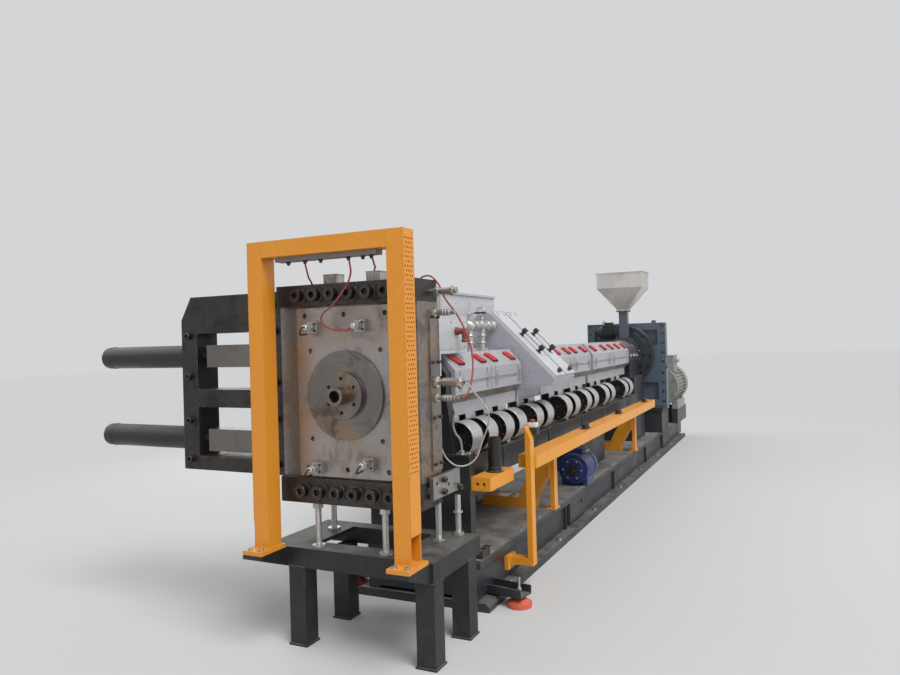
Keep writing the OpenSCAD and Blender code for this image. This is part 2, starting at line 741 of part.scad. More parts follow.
// Steel block of the screen changer
module changer_block() color("#6f6a66") place() {
    w = block_w / 2;
    block([-w, w], [block_y0, block_y1], [block_z1, block_z2]);
    both_sides() block([w, w + 8], [block_y0 + 110, block_y1], [block_z1 + 40, block_z2 - 40]);
}

module face_plate() color("#b9b4ae") place() difference() {
    w = plate_w / 2;
    block([-w, w], [plate_y, block_y0], [block_z1 + 10, block_z2 - 10]);
    for (x = [50 - w, 0, w - 50]) for (z = [block_z1 + 50, block_z2 - 50])
        rod_y([x, plate_y - 1, z], 26, plate_t + 2);
    for (x = [-210, 210]) for (z = [axis_z - 232, axis_z + 218])
        rod_y([x, plate_y - 1, z], 26, plate_t + 2);
}

// Ring, flange and bored stub where the melt leaves the screen changer
module melt_flange() color("#8d8880") place() difference() {
    z = axis_z - 7;
    union() {
        rod_y([0, plate_y - 14, z], 2 * ring_r, 14);
        rod_y([0, plate_y - 40, z], 2 * outlet_flange_r, 26);
        rod_y([0, plate_y - 40 - outlet_stub_l, z], outlet_stub_d, outlet_stub_l);
    }
    rod_y([0, plate_y - 50 - outlet_stub_l, z], outlet_bore, outlet_stub_l + 40);
    for (a = [30 : 60 : 330]) rod_y([85 * cos(a), plate_y - 41, z + 85 * sin(a)], 20, 20);
}

// Clamp bars above and below, with the heads of their big screws
module clamp_bars() color("#3a3532") place() {
    w = block_w / 2;
    y = [plate_y - clamp_proud, block_y1];
    clamp_bar(w, y, [block_z0, block_z1]);
    clamp_bar(w, y, [block_z2, block_z2 + clamp_top_h]);
}
module clamp_bar(w, y, z) difference() {
    union() {
        block([-w, w], y, z);
        for (i = [0 : clamp_bolts - 1]) rod_y([(i - (clamp_bolts - 1) / 2) * clamp_pitch,
            y[0] - clamp_head_l, (z[0] + z[1]) / 2], clamp_head_d, clamp_head_l + 1);
    }
    for (i = [0 : clamp_bolts - 1]) translate([(i - (clamp_bolts - 1) / 2) * clamp_pitch,
        y[0] - clamp_head_l - 1, (z[0] + z[1]) / 2]) rotate([-90, 0, 0])
            cylinder(d = clamp_head_d * 0.55, h = 26, $fn = 6);
}

// Sensor brackets on the face plate, terminal boxes on top, sensors on the right side
module block_sensors() color("silver") place() {
    for (p = [[-176, 1630], [110, 1630], [-168, 915], [138, 949]]) {
        block([p[0] - 30, p[0] + 30], [plate_y - 30, plate_y], [p[1] - 30, p[1] + 30]);
        rod_y([p[0] - 8, plate_y - 62, p[1]], 26, 33);
    }
    top = block_z2 + clamp_top_h;
    for (x = [-90, 166]) block([x - 40, x + 40], [plate_y + 20, plate_y + 90], [top, top + 45]);
    w = block_w / 2;
    y = block_y0 + 145;
    rod_x([w, y, top - 60], 32, 143);
    sensor([w + 8, y, top - 166], 30, 122);
    sensor([w + 8, y, 1340], 44, 159);
    sensor([w + 8, y, 1262], 30, 140);
}
module sensor(p, d, l) {
    rod_x(p, d * 0.7, l);
    rod_x([p[0] + l * 0.3, p[1], p[2]], d, l * 0.5);
}

// Carrier bars bolted to the sides of the block, joined behind it
module support_bars() color("#7c7872") place() {
    x = block_w / 2;
    z = [block_z0 + 40, block_z0 + 150];
    difference() {
        both_sides() block([x + 8, x + 30], [block_y0 + 60, 560], [z[0], z[1]]);
        for (y = [300, 430, 500, 530]) rod_x([-x - 40, y, z[1] - 35 - 0.2 * (y - 300)], 20, 2 * x + 80);
        block([-x - 31, -x - 7], [block_y0 + 59, block_y0 + 30 + yoke_t + seat_gap],
            [yoke_z0 - seat_gap, z[1] + 1]);
    }
    block([-x - 8, x + 8], [block_y1 + 70, 560], [z[0], z[0] + 40]);
    both_sides() block([x - 1, x + 9], [block_y0 + 60, block_y1], [z[0] + 30, z[0] + 60]);
}

// Screws that set the height of the block over the table
module jack_screws() color("#9fa19d") place() {
    both_sides() {
        jack([200, table_y0 + 60], block_z0);
        jack([330, 520], block_z0 + 40);
    }
    translate([386, 641, table_z]) {
        cylinder(d = 30, h = 215);
        cylinder(d = 62, h = 18, $fn = 6);
        translate([0, 0, 120]) cylinder(d = 50, h = 10);
    }
}
module jack(p, z1) {
    rod_z([p[0], p[1], table_z], 32, z1 - table_z);
    rod_z([p[0], p[1], table_z], 70, 10);
    translate([p[0], p[1], z1 - 26]) cylinder(d = 58, h = 26, $fn = 6);
}

// Steel frame on the left that holds the hydraulic cylinders
module yoke() color("#4b4644") place() {
    x1 = -block_w / 2 - 8;
    x0 = -block_w / 2 - yoke_l;
    y = [block_y0 + 30, block_y0 + 30 + yoke_t];
    c = yoke_col_w;
    difference() {
        along_y(y[0], y[1]) difference() {
            polygon([[x0, yoke_z0], [x1, yoke_z0], [x1, yoke_z1], [x0 + 75, yoke_z1],
                [x0, yoke_z1 - 130]]);
            translate([x0 + c, slide_z + 50]) square([yoke_l - 8 - 2 * c, slide_pitch / 2 + 80]);
            translate([x0 + c, slide_z - slide_pitch / 2 - 90])
                square([yoke_l - 8 - 2 * c, slide_pitch / 2 + 40]);
        }
        for (s = [-1, 1]) {
            z = slide_z + s * slide_pitch / 2;
            rod_x([x0 - 1, (y[0] + y[1]) / 2, z], 60 + 2 * seat_gap, c + 2);
            w = slide_w / 2 + seat_gap;
            block([x1 - c - 1, x1 + 1], [(y[0] + y[1]) / 2 - w, (y[0] + y[1]) / 2 + w], [z - w, z + w]);
        }
    }
}

// Square bars that carry the screens through the block, with their piston rods
module slide_bars() color("#5d5854") place() for (s = [-1, 1]) {
    z = slide_z + s * slide_pitch / 2;
    y = block_y0 + 30 + yoke_t / 2;
    x0 = -block_w / 2 - yoke_l;
    w = slide_w / 2;
    block([x0 + 170, -block_w / 2 - 8], [y - w, y + w], [z - w, z + w]);
    rod_x([x0, y, z], 60, 171);
}

module changer_cylinders() color("#1b1b1d") place() for (s = [-1, 1]) {
    z = slide_z + s * slide_pitch / 2;
    y = block_y0 + 30 + yoke_t / 2;
    x0 = -block_w / 2 - yoke_l;
    rod_x([x0 - cylinder_l, y, z], cylinder_d, cylinder_l);
    rod_x([x0 - 30, y, z], cylinder_d + 24, 30);
    rod_x([x0 - cylinder_l, y, z], cylinder_d + 10, 50);
}

// Welded guard portal: channel posts, cross beam and foot plates
module portal_frame() color("orange") place() {
    w = portal_w / 2 - 3;
    t = portal_wall;
    z0 = table_z + foot_t;
    both_sides() difference() {
        block([w - post_w + 3, w], [0, post_d], [z0, portal_top]);
        block([w - post_w + 3 + t, w + 1], [t, post_d - t], [z0, portal_top - t]);
    }
    block([post_w - w - 4, w - post_w + 4], [0, post_d], [portal_top - beam_h, portal_top]);
    both_sides() block([355, 474], [foot_front, post_d + 22], [table_z, z0]);
}

// Cover plates on the open sides of the posts, staggered rows of four and three holes
module perforated_covers() color("orange") place() both_sides()
    along_x(portal_w / 2 - 3, portal_w / 2) difference() {
        translate([0, grille_z0]) square([post_d, portal_top - grille_z0]);
        rows = floor((portal_top - 28 - hole_z0) / row_pitch);
        for (i = [0 : rows]) for (k = [0 : 3 - i % 2])
            translate([post_d / 2 + (k - (3 - i % 2) / 2) * hole_pitch, hole_z0 + i * row_pitch])
                circle(d = hole_d, $fn = 24);
    }

module cable_strip() color("gray") place()
    block([-300, 290], [30, post_d - 10], [portal_top - beam_h - 24, portal_top - beam_h]);

module side_rail() color("orange") place()
    block([side_x - side_w, side_x], [side_y0, side_y0 + side_l], [side_z, side_z + side_h]);

// Slant-topped front post on its bent foot, and the two braced posts on the deck
module rail_posts() color("orange") place() {
    y = [side_y0 - jpost_d, side_y0];
    x = [side_x - 15 - jpost_w, side_x - 15];
    along_y(y[0], y[1]) polygon([[x[0], 137], [x[1], 137], [x[1], 925], [x[0], 1000]]);
    block([base_half_w - 1, x[0] + 1], y, [137, 185]);
    block([web_x, base_half_w], [y[0] - 30, y[1] + 30], [105, 190]);
    for (q = [post_2_y, post_3_y]) rail_bracket(q);
}
module rail_bracket(q) {
    x1 = side_x - side_w;
    top = side_z - 20;
    block([x1 - 63, x1 - 30], [q - 35, q + 40], [deck_z, top + 1]);
    block([x1 - 95, x1 - 20], [q - 55, q + 60], [deck_z, deck_z + 10]);
    block([x1 - 90, side_x - 55], [q - 35, q + 40], [top, side_z]);
    along_y(q - 60, q + 60) polygon([[-160, deck_z], [255, deck_z], [255, 345], [x1 - 85, 515],
        [x1 - 62, 515], [x1 - 62, 684], [306, 684], [184, 478], [131, 362], [-160, 362]]);
}

// Short box beam bolted to the side of the pedestal
module stub_beam() color("orange") place() {
    x = [pedestal_half_w, pedestal_half_w + side_w];
    z = [side_z - 52, side_z + 25];
    difference() {
        block(x, [base_y0 + 15, base_y0 + 385], z);
        for (q = [39, 79]) rod_y([x[0] + q, base_y0 + 10, (z[0] + z[1]) / 2], 20, 40);
    }
}

module cable_tube() color("#18181a") place()
    difference() {
        rod_z([pedestal_half_w + 64, base_y0 + 222, side_z + 25], 76, 205);
        rod_z([pedestal_half_w + 64, base_y0 + 222, side_z + 80], 66, 160);
    }

// Small blue motor on the deck
module pump_motor() color("#24418f") place() translate([295, 3100, deck_z]) {
    rod_y([0, 0, 140], 250, 260);
    rod_y([0, -30, 140], 180, 30);
    rod_y([0, 260, 140], 262, 60);
    for (x = [-110, 70]) block([x, x + 40], [40, 240], [0, 90]);
    block([-60, 60], [90, 210], [258, 300]);
}

// Smooth curve through a list of points, and a round cable swept along it in n steps
function at(p, i) = p[max(0, min(len(p) - 1, i))];
function curve(p, t) = let (i = min(floor(t), len(p) - 2), u = t - i,
    a = at(p, i - 1), b = at(p, i), c = at(p, i + 1), d = at(p, i + 2))
    b + u / 2 * (c - a + u * (2 * a - 5 * b + 4 * c - d + u * (3 * b - a - 3 * c + d)));
module cable(p, d, n) {
    path = [for (k = [0 : n]) curve(p, k * (len(p) - 1) / n)];
    points = [for (k = [0 : n]) let (w = path[min(k + 1, n)] - path[max(k - 1, 0)],
        s = cross(w, [0, 1, 0]), side = s / norm(s), up = cross(w / norm(w), side))
        for (a = [0 : 45 : 315]) path[k] + d / 2 * (cos(a) * side + sin(a) * up)];
    walls = [for (k = [0 : n - 1]) for (a = [0 : 7]) let (q = 8 * k, b = (a + 1) % 8)
        each [[q + a, q + 8 + a, q + b], [q + b, q + 8 + a, q + 8 + b]]];
    polyhedron(points, concat([[for (a = [0 : 7]) a]], walls, [[for (a = [0 : 7]) 8 * n + 7 - a]]));
}

// Cables from the strip under the cross beam, from the block's top and from a side sensor
module heater_lead_1() color("firebrick") place() cable([[-130, 50, 1958.7], [-134, 58, 1938],
    [-152, 95, 1905], [-184, 150, 1882], [-208, 200, 1868], [-214, 218, 1850.3]], lead_d, 7);
module heater_lead_2() color("firebrick") place() cable([[253, 50, 1958.7], [254, 60, 1940],
    [240, 95, 1918], [206, 160, 1912], [170, 212, 1912], [160, 225, 1895.3]], lead_d, 7);
module heater_lead_3() color("firebrick") place() cable([[125, 50, 1958.7], [124, 60, 1930],
    [112, 85, 1885], [78, 105, 1835], [30, 108, 1780], [-27, 110, 1727], [-72, 115, 1702],
    [-95, 122, 1672], [-88, 132, 1640], [-60, 142, 1622], [-20, 148, 1611], [30, 155, 1612],
    [79.6, 162, 1628]], lead_d, 18);
module heater_lead_4() color("firebrick") place() cable([[345, 360, 1850.3], [355, 363, 1868],
    [395, 378, 1870], [430, 400, 1825], [455, 415, 1756], [495, 455, 1680], [528, 475, 1605],
    [560, 475, 1520], [580, 455, 1425], [585, 415, 1330], [580, 370, 1280], [558.4, 345, 1262]],
    lead_d, 20);
module sensor_lead() color("white") place() cable([[577.4, 345, 1340], [590, 375, 1325],
    [592, 430, 1285], [606, 500, 1228], [618, 545, 1172], [600, 575, 1100], [556, 593, 1010],
    [520, 600, 930], [470, 590, 890], [420, 560, 890], [385, 525, 930], [374, 490, 985],
    [380, 440, 1045], [388, 410.4, 1085]], sensor_d, 26);

floor_rails();
base_frame();
deck_plate();
levelling_feet();
front_pedestal();
rear_pedestals();
fan_tray();
barrel();
barrel_cover_1();
barrel_cover_2();
barrel_cover_3();
barrel_cover_4();
barrel_cover_5();
barrel_cover_6();
cover_latches();
heater_plugs();
blower_1();
blower_2();
blower_3();
blower_4();
blower_5();
blower_6();
blower_7();
vent_housing();
vent_lids();
vacuum_pipe();
front_casing();
tower_casing();
feed_section();
feed_throat();
hopper();
feeder_drive();
gearbox_flange();
gearbox();
coupling_guard();
main_motor();
die_table();
changer_block();
face_plate();
melt_flange();
clamp_bars();
block_sensors();
support_bars();
jack_screws();
yoke();
slide_bars();
changer_cylinders();
portal_frame();
perforated_covers();
cable_strip();
side_rail();
rail_posts();
stub_beam();
cable_tube();
pump_motor();
heater_lead_1();
heater_lead_2();
heater_lead_3();
heater_lead_4();
sensor_lead();
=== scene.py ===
import math
from itertools import product

import bpy
import numpy as np
from mathutils import Matrix, Vector


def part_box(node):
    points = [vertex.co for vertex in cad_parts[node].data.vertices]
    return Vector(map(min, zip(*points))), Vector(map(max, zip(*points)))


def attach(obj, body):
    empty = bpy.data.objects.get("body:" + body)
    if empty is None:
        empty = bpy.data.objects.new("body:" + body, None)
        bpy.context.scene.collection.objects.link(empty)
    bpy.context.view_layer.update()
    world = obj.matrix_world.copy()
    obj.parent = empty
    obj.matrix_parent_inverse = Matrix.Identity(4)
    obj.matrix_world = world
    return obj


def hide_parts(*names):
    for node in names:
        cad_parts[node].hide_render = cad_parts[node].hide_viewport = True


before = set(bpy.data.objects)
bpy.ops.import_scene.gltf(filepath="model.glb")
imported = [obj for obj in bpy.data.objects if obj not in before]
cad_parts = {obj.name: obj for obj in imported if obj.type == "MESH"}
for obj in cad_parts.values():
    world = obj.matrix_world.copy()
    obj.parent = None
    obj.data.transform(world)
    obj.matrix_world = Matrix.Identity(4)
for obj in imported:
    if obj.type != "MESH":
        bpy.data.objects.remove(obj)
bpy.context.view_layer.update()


# Camera, floor and light
# The machine is seen from its die end, a little to the right, at eye height, in soft light from above.
# Places along the machine are counted from the screw axis (X), the portal's front (Y) and the floor.
barrel_lo, barrel_hi = np.array(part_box("barrel"))
screw_x, _, screw_z = (barrel_lo + barrel_hi) / 2
portal_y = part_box("perforated_covers")[0][1]
machine_zero = np.array([screw_x, portal_y, 0.0])


def corners(node):
    """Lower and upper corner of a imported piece, counted from machine_zero."""
    return np.array(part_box(node)) - machine_zero


eye = machine_zero + [2.07, -2.883, 1.55]
yaw, pitch, roll = np.radians([25.8, 0.15, -1.6])
ahead = Vector((-math.sin(yaw) * math.cos(pitch), math.cos(yaw) * math.cos(pitch), math.sin(pitch)))
level_right = Vector((math.cos(yaw), math.sin(yaw), 0.0))
level_up = level_right.cross(ahead)
view_right = level_right * math.cos(roll) + level_up * math.sin(roll)
view_up = level_up * math.cos(roll) - level_right * math.sin(roll)
camera = bpy.data.objects.new("camera", bpy.data.cameras.new("camera"))
camera.data.sensor_width = 36.0
camera.data.lens = 29.2
turned_to_view = [(view_right[i], view_up[i], -ahead[i], eye[i]) for i in range(3)]
camera.matrix_world = Matrix(turned_to_view + [(0, 0, 0, 1)])
bpy.context.collection.objects.link(camera)
bpy.context.scene.camera = camera
bpy.context.scene.view_settings.view_transform = "Standard"


def wire(tree, node, **inputs):
    """Gives a node's inputs a number, a colour or another node's output; in2 is input number 2."""
    for key, value in inputs.items():
        numbered = key[:2] == "in" and key[2:].isdigit()
        socket = node.inputs[int(key[2:]) if numbered else key.replace("_", " ")]
        if isinstance(value, bpy.types.NodeSocket):
            tree.links.new(value, socket)
        else:
            socket.default_value = value
    return node


def put(tree, kind, settings=(), **inputs):
    """A new shader node with its settings and inputs."""
    made = tree.nodes.new("ShaderNode" + kind)
    for key, value in dict(settings).items():
        setattr(made, key, value)
    return wire(tree, made, **inputs)


def math_on(tree, operation, a, b=0.0, clamp=False):
    """Result of one sum, such as MULTIPLY or POWER, on two values."""
    return put(tree, "Math", {"operation": operation, "use_clamp": clamp}, in0=a, in1=b).outputs[0]


def blend_on(tree, share, under, over, way="MIX"):
    """Colour `over` laid on colour `under` by a share from 0 to 1."""
    mix = put(tree, "Mix", {"data_type": "RGBA", "blend_type": way}, in0=share, in6=under, in7=over)
    return mix.outputs[2]


def ramp_on(tree, value, low, high, out_low=0.0, out_high=1.0):
    """A value stretched from low..high to out_low..out_high with soft ends."""
    return put(tree, "MapRange", {"interpolation_type": "SMOOTHSTEP"}, in0=value, in1=low, in2=high,
               in3=out_low, in4=out_high).outputs[0]


def noise_on(tree, scale, detail, **more):
    """Cloud noise between 0 and 1."""
    return put(tree, "TexNoise", Scale=scale, Detail=detail, **more).outputs[0]


def rgba(colour, share=1.0):
    """An opaque colour, darkened to a share of itself."""
    return (*(share * c for c in colour), 1.0)


def new_material(name):
    """An empty material with its node tree and its shader."""
    material = bpy.data.materials.new(name)
    material.use_nodes = True
    return material, material.node_tree, material.node_tree.nodes["Principled BSDF"]


floor_mesh = bpy.data.meshes.new("floor")
floor_mesh.from_pydata([(-40, -30, 0), (40, -30, 0), (40, 50, 0), (-40, 50, 0)], [], [(0, 1, 2, 3)])
floor = bpy.data.objects.new("floor", floor_mesh)
bpy.context.collection.objects.link(floor)
floor_paint, floor_tree, floor_shader = new_material("floor")
floor_tone = blend_on(floor_tree, noise_on(floor_tree, 1.7, 6.0), rgba((0.55, 0.555, 0.56)),
                      rgba((0.58, 0.585, 0.585)))
wire(floor_tree, floor_shader, Base_Color=floor_tone, Roughness=0.75, Specular_IOR_Level=0.08)
floor_mesh.materials.append(floor_paint)

world = bpy.data.worlds.new("workshop air")
world.use_nodes = True
bpy.context.scene.world = world
air = world.node_tree
seen = put(air, "LightPath")
straight = math_on(air, "MAXIMUM", seen.outputs["Is Camera Ray"], seen.outputs["Is Transmission Ray"])
straight = math_on(air, "MAXIMUM", straight, seen.outputs["Is Glossy Ray"])
air_light = put(air, "Background", Color=rgba((0.92, 0.95, 1.0)), Strength=0.40)
air_seen = put(air, "Background", Color=rgba((0.655, 0.665, 0.675)), Strength=1.0)
air_mix = put(air, "MixShader", in0=straight, in1=air_light.outputs[0], in2=air_seen.outputs[0])
wire(air, air.nodes["World Output"], Surface=air_mix.outputs[0])


def lamp(name, kind, at, towards, size, power, tint=(1.0, 0.985, 0.96)):
    """A soft light at a place on the machine, turned towards another place. A sun's size is its angle in
    degrees, a square light's its side in metres."""
    light = bpy.data.lights.new(name, kind)
    if kind == "SUN":
        light.angle = math.radians(size)
    else:
        light.size = size
    light.energy = power
    light.color = tint
    held = bpy.data.objects.new(name, light)
    start = Vector(machine_zero + at)
    held.location = start
    held.rotation_euler = (Vector(machine_zero + towards) - start).to_track_quat("-Z", "Y").to_euler()
    bpy.context.collection.objects.link(held)


lamp("roof light", "SUN", [3.3, -0.8, 5.9], [0.0, 1.0, 0.9], 34.0, 2.5)
lamp("left fill", "SUN", [-4.0, 1.0, 4.0], [0.0, 1.5, 0.9], 60.0, 0.5)
lamp("front light", "AREA", [2.4, -4.2, 3.6], [0.0, 1.0, 1.0], 2.4, 32.0)
lamp("side light", "AREA", [5.4, 3.6, 3.4], [0.2, 3.6, 0.9], 3.6, 45.0)
lamp("far side light", "AREA", [-4.6, 6.0, 3.4], [-0.4, 5.4, 1.0], 3.6, 50.0)


# Heater and sensor cables
# Five stranded cables in braided sleeves, 8 to 9 mm thick. They hang between the strip under the cross
# beam, the terminal boxes and the sensors of the block, with a ferrule at each end.
def smooth_route(knots, count):
    """Points on the Catmull-Rom curve: each stretch is the cubic whose slope at a knot is half the step
    from the knot before to the knot after."""
    knots = np.array(knots, float)
    t = np.linspace(0, len(knots) - 1, count)
    i = np.minimum(t.astype(int), len(knots) - 2)
    u = (t - i)[:, None]
    a, b, c, d = (knots[np.clip(i + k, 0, len(knots) - 1)] for k in (-1, 0, 1, 2))
    return b + u / 2 * (c - a + u * (2 * a - 5 * b + 4 * c - d + u * (3 * b - a - 3 * c + d)))


def round_along(route, radius, sides=12):
    """Rings round a route: centre + radius (cos a * side + sin a * up), where side and up are at right
    angles to the route's direction. Gives an m x n x 3 grid."""
    route = np.asarray(route, float)
    way = np.gradient(route, axis=0)
    way /= np.linalg.norm(way, axis=1)[:, None]
    level = np.array([0.0, 1.0, 0.0]) if abs(way[:, 1]).max() < 0.98 else np.array([0.31, 0.2, 0.93])
    side = np.cross(way, level)
    side /= np.linalg.norm(side, axis=1)[:, None]
    up = np.cross(way, side)
    a = np.linspace(0, 2 * np.pi, sides, endpoint=False)[None, :, None]
    radius = np.broadcast_to(radius, len(route))[:, None, None]
    return route[:, None] + radius * (np.cos(a) * side[:, None] + np.sin(a) * up[:, None])


def made_piece(name, grids, material, sharp=32.0, with_uv=False):
    """One mesh from grids of points (m x n x 3, or k copies as k x m x n x 3). Rows are joined by quads,
    columns close into rings, and the first and last ring are closed by a flat face."""
    points, faces, across, total = [], [], [], 0
    for grid in grids:
        grid = np.asarray(grid, float)
        grid = grid if grid.ndim == 4 else grid[None]
        k, m, n = grid.shape[:3]
        number = total + np.arange(k * m * n).reshape(k, m, n)
        beside = np.roll(number, -1, axis=2)
        quads = np.stack([number[:, :-1], beside[:, :-1], beside[:, 1:], number[:, 1:]], axis=-1)
        points.append(grid.reshape(-1, 3))
        faces += quads.reshape(-1, 4).tolist() + number[:, 0, ::-1].tolist() + number[:, -1].tolist()
        along = np.broadcast_to(np.linspace(0, 1, m)[None, :, None], number.shape)
        around = np.broadcast_to(np.linspace(0, 1, n, endpoint=False)[None, None, :], number.shape)
        across.append(np.stack([around, along], axis=-1).reshape(-1, 2))
        total += k * m * n
    mesh = bpy.data.meshes.new(name)
    mesh.from_pydata(np.concatenate(points), [], faces)
    if with_uv:
        corner = np.empty(len(mesh.loops), int)
        mesh.loops.foreach_get("vertex_index", corner)
        mesh.uv_layers.new(name="sleeve").data.foreach_set("uv", np.concatenate(across)[corner].ravel())
    mesh.polygons.foreach_set("use_smooth", np.ones(len(mesh.polygons), bool))
    mesh.set_sharp_from_angle(angle=math.radians(sharp))
    mesh.materials.append(material)
    piece = bpy.data.objects.new(name, mesh)
    bpy.context.collection.objects.link(piece)
    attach(piece, "root")
    return piece


def spot_on(tree):
    """The place on the piece, in metres."""
    return put(tree, "TexCoord").outputs["Object"]


def one_of(tree, vector, axis):
    """One number of a vector: 0 for X, 1 for Y, 2 for Z."""
    return put(tree, "SeparateXYZ", Vector=vector).outputs[axis]


def sleeve(name, colour, thread):
    """Braided sleeve: two sets of slanting threads, sin(u + v) * sin(u - v) on the cable's own map."""
    material, tree, shader = new_material(name)
    place = put(tree, "UVMap", {"uv_map": "sleeve"}).outputs[0]
    around = math_on(tree, "MULTIPLY", one_of(tree, place, 0), 6 * 2 * math.pi)
    along = math_on(tree, "MULTIPLY", one_of(tree, place, 1), thread)
    one = math_on(tree, "SINE", math_on(tree, "ADD", around, along))
    two = math_on(tree, "SINE", math_on(tree, "SUBTRACT", around, along))
    crossed = math_on(tree, "MULTIPLY", one, two)
    weave = put(tree, "Math", {"operation": "MULTIPLY_ADD"}, in0=crossed, in1=0.5, in2=0.5).outputs[0]
    soil = noise_on(tree, 38.0, 4.0, Vector=spot_on(tree))
    tone = blend_on(tree, weave, rgba(colour, 0.55), rgba(colour))
    tone = blend_on(tree, ramp_on(tree, soil, 0.5, 0.75, 0.0, 0.5), tone, rgba((0.10, 0.085, 0.075)))
    bump = put(tree, "Bump", Strength=0.5, Distance=0.0006, Height=weave).outputs[0]
    wire(tree, shader, Base_Color=tone, Roughness=ramp_on(tree, soil, 0.3, 0.7, 0.5, 0.75), Normal=bump)
    return material


red_sleeve = sleeve("red braided sleeve", (0.48, 0.075, 0.06), 900.0)
white_sleeve = sleeve("white braided sleeve", (0.66, 0.65, 0.62), 1500.0)
black_sleeve = sleeve("black shrink sleeve", (0.030, 0.028, 0.027), 300.0)
cable_routes = {
    "heater_lead_1": [(-0.130, 0.050, 1.9587), (-0.134, 0.058, 1.938), (-0.152, 0.095, 1.905),
                      (-0.184, 0.150, 1.882), (-0.208, 0.200, 1.868), (-0.214, 0.218, 1.8503)],
    "heater_lead_2": [(0.253, 0.050, 1.9587), (0.254, 0.060, 1.940), (0.240, 0.095, 1.918),
                      (0.206, 0.160, 1.912), (0.170, 0.212, 1.912), (0.160, 0.225, 1.8953)],
    "heater_lead_3": [(0.125, 0.050, 1.9587), (0.124, 0.060, 1.930), (0.112, 0.085, 1.885),
                      (0.078, 0.105, 1.835), (0.030, 0.108, 1.780), (-0.027, 0.110, 1.727),
                      (-0.072, 0.115, 1.702), (-0.095, 0.122, 1.672), (-0.088, 0.132, 1.640),
                      (-0.060, 0.142, 1.622), (-0.020, 0.148, 1.611), (0.030, 0.155, 1.612),
                      (0.0796, 0.162, 1.628)],
    "heater_lead_4": [(0.345, 0.360, 1.8503), (0.355, 0.363, 1.868), (0.395, 0.378, 1.870),
                      (0.430, 0.400, 1.825), (0.455, 0.415, 1.756), (0.495, 0.455, 1.680),
                      (0.528, 0.475, 1.605), (0.560, 0.475, 1.520), (0.580, 0.455, 1.425),
                      (0.585, 0.415, 1.330), (0.580, 0.370, 1.280), (0.5584, 0.345, 1.262)],
    "sensor_lead": [(0.5774, 0.345, 1.340), (0.590, 0.375, 1.325), (0.592, 0.430, 1.285),
                    (0.606, 0.500, 1.228), (0.618, 0.545, 1.172), (0.600, 0.575, 1.100),
                    (0.556, 0.593, 1.010), (0.520, 0.600, 0.930), (0.470, 0.590, 0.890),
                    (0.420, 0.560, 0.890), (0.385, 0.525, 0.930), (0.374, 0.490, 0.985),
                    (0.380, 0.440, 1.045), (0.388, 0.4104, 1.085)],
}
ferrule_length = 0.016
ferrules = []
for node, knots in cable_routes.items():
    is_sensor = node == "sensor_lead"
    thick = 0.008 if is_sensor else 0.009
    route = machine_zero + smooth_route(knots, 12 * len(knots))
    cable = made_piece(node + "_cable", [round_along(route, thick / 2)],
                       white_sleeve if is_sensor else red_sleeve,
                       with_uv=True)
    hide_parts(node)
    run = float(np.linalg.norm(np.diff(route, axis=0), axis=1).sum())
    gripped = max(3, round(ferrule_length * len(route) / run))
    ferrules += [round_along(route[:gripped], 0.8 * thick), round_along(route[-gripped:], 0.8 * thick)]
made_piece("cable_ferrules", ferrules, black_sleeve, with_uv=True)


# Base frame, deck plate and floor rails
# Welded beams and plates in charcoal paint, scuffed at the edges and grey with dust on top. The frame
# stands on two rails and is levelled by threaded bolts on orange pads.
def effect(name, inputs, outputs):
    """An empty shader group with named inputs (name, start value) and outputs (name, kind)."""
    tree = bpy.data.node_groups.new(name, "ShaderNodeTree")
    for label, value in inputs:
        tree.interface.new_socket(label, in_out="INPUT", socket_type="NodeSocketFloat").default_value = value
    for label, kind in outputs:
        tree.interface.new_socket(label, in_out="OUTPUT", socket_type="NodeSocket" + kind)
    return tree, tree.nodes.new("NodeGroupInput"), tree.nodes.new("NodeGroupOutput")


# Edge wear: where the rounded normal leaves the face's own normal, broken up by noise
edge_wear, given, out = effect("edge wear", [("Radius", 0.004), ("Amount", 0.6)],
                               [("Mask", "Float"), ("Normal", "Vector")])
rounded = put(edge_wear, "Bevel", {"samples": 4}, Radius=given.outputs["Radius"]).outputs[0]
own = put(edge_wear, "NewGeometry").outputs["Normal"]
turn = put(edge_wear, "VectorMath", {"operation": "DOT_PRODUCT"}, in0=rounded, in1=own).outputs["Value"]
chips = noise_on(edge_wear, 21.0, 8.0, Vector=spot_on(edge_wear), Roughness=0.7)
near_edge = ramp_on(edge_wear, turn, 0.995, 0.80)
chipped = math_on(edge_wear, "MULTIPLY", near_edge, ramp_on(edge_wear, chips, 0.46, 0.60))
worn = math_on(edge_wear, "MULTIPLY", chipped, given.outputs["Amount"], True)
wire(edge_wear, out, Mask=worn, Normal=rounded)

# Cloudy tone: broad patches, fine grain and small specks
cloudy, given, out = effect("cloudy tone", [("Scale", 3.0)],
                            [("Broad", "Float"), ("Fine", "Float"), ("Specks", "Float")])
spot = spot_on(cloudy)
for label, share, detail, low, high in (("Broad", 1.0, 5.0, 0.32, 0.68), ("Fine", 24.0, 3.0, 0.30, 0.70),
                                        ("Specks", 70.0, 2.0, 0.64, 0.74)):
    fineness = math_on(cloudy, "MULTIPLY", given.outputs["Scale"], share)
    cloud = noise_on(cloudy, fineness, detail, Vector=spot, Roughness=0.6)
    wire(cloudy, out, **{label: ramp_on(cloudy, cloud, low, high)})

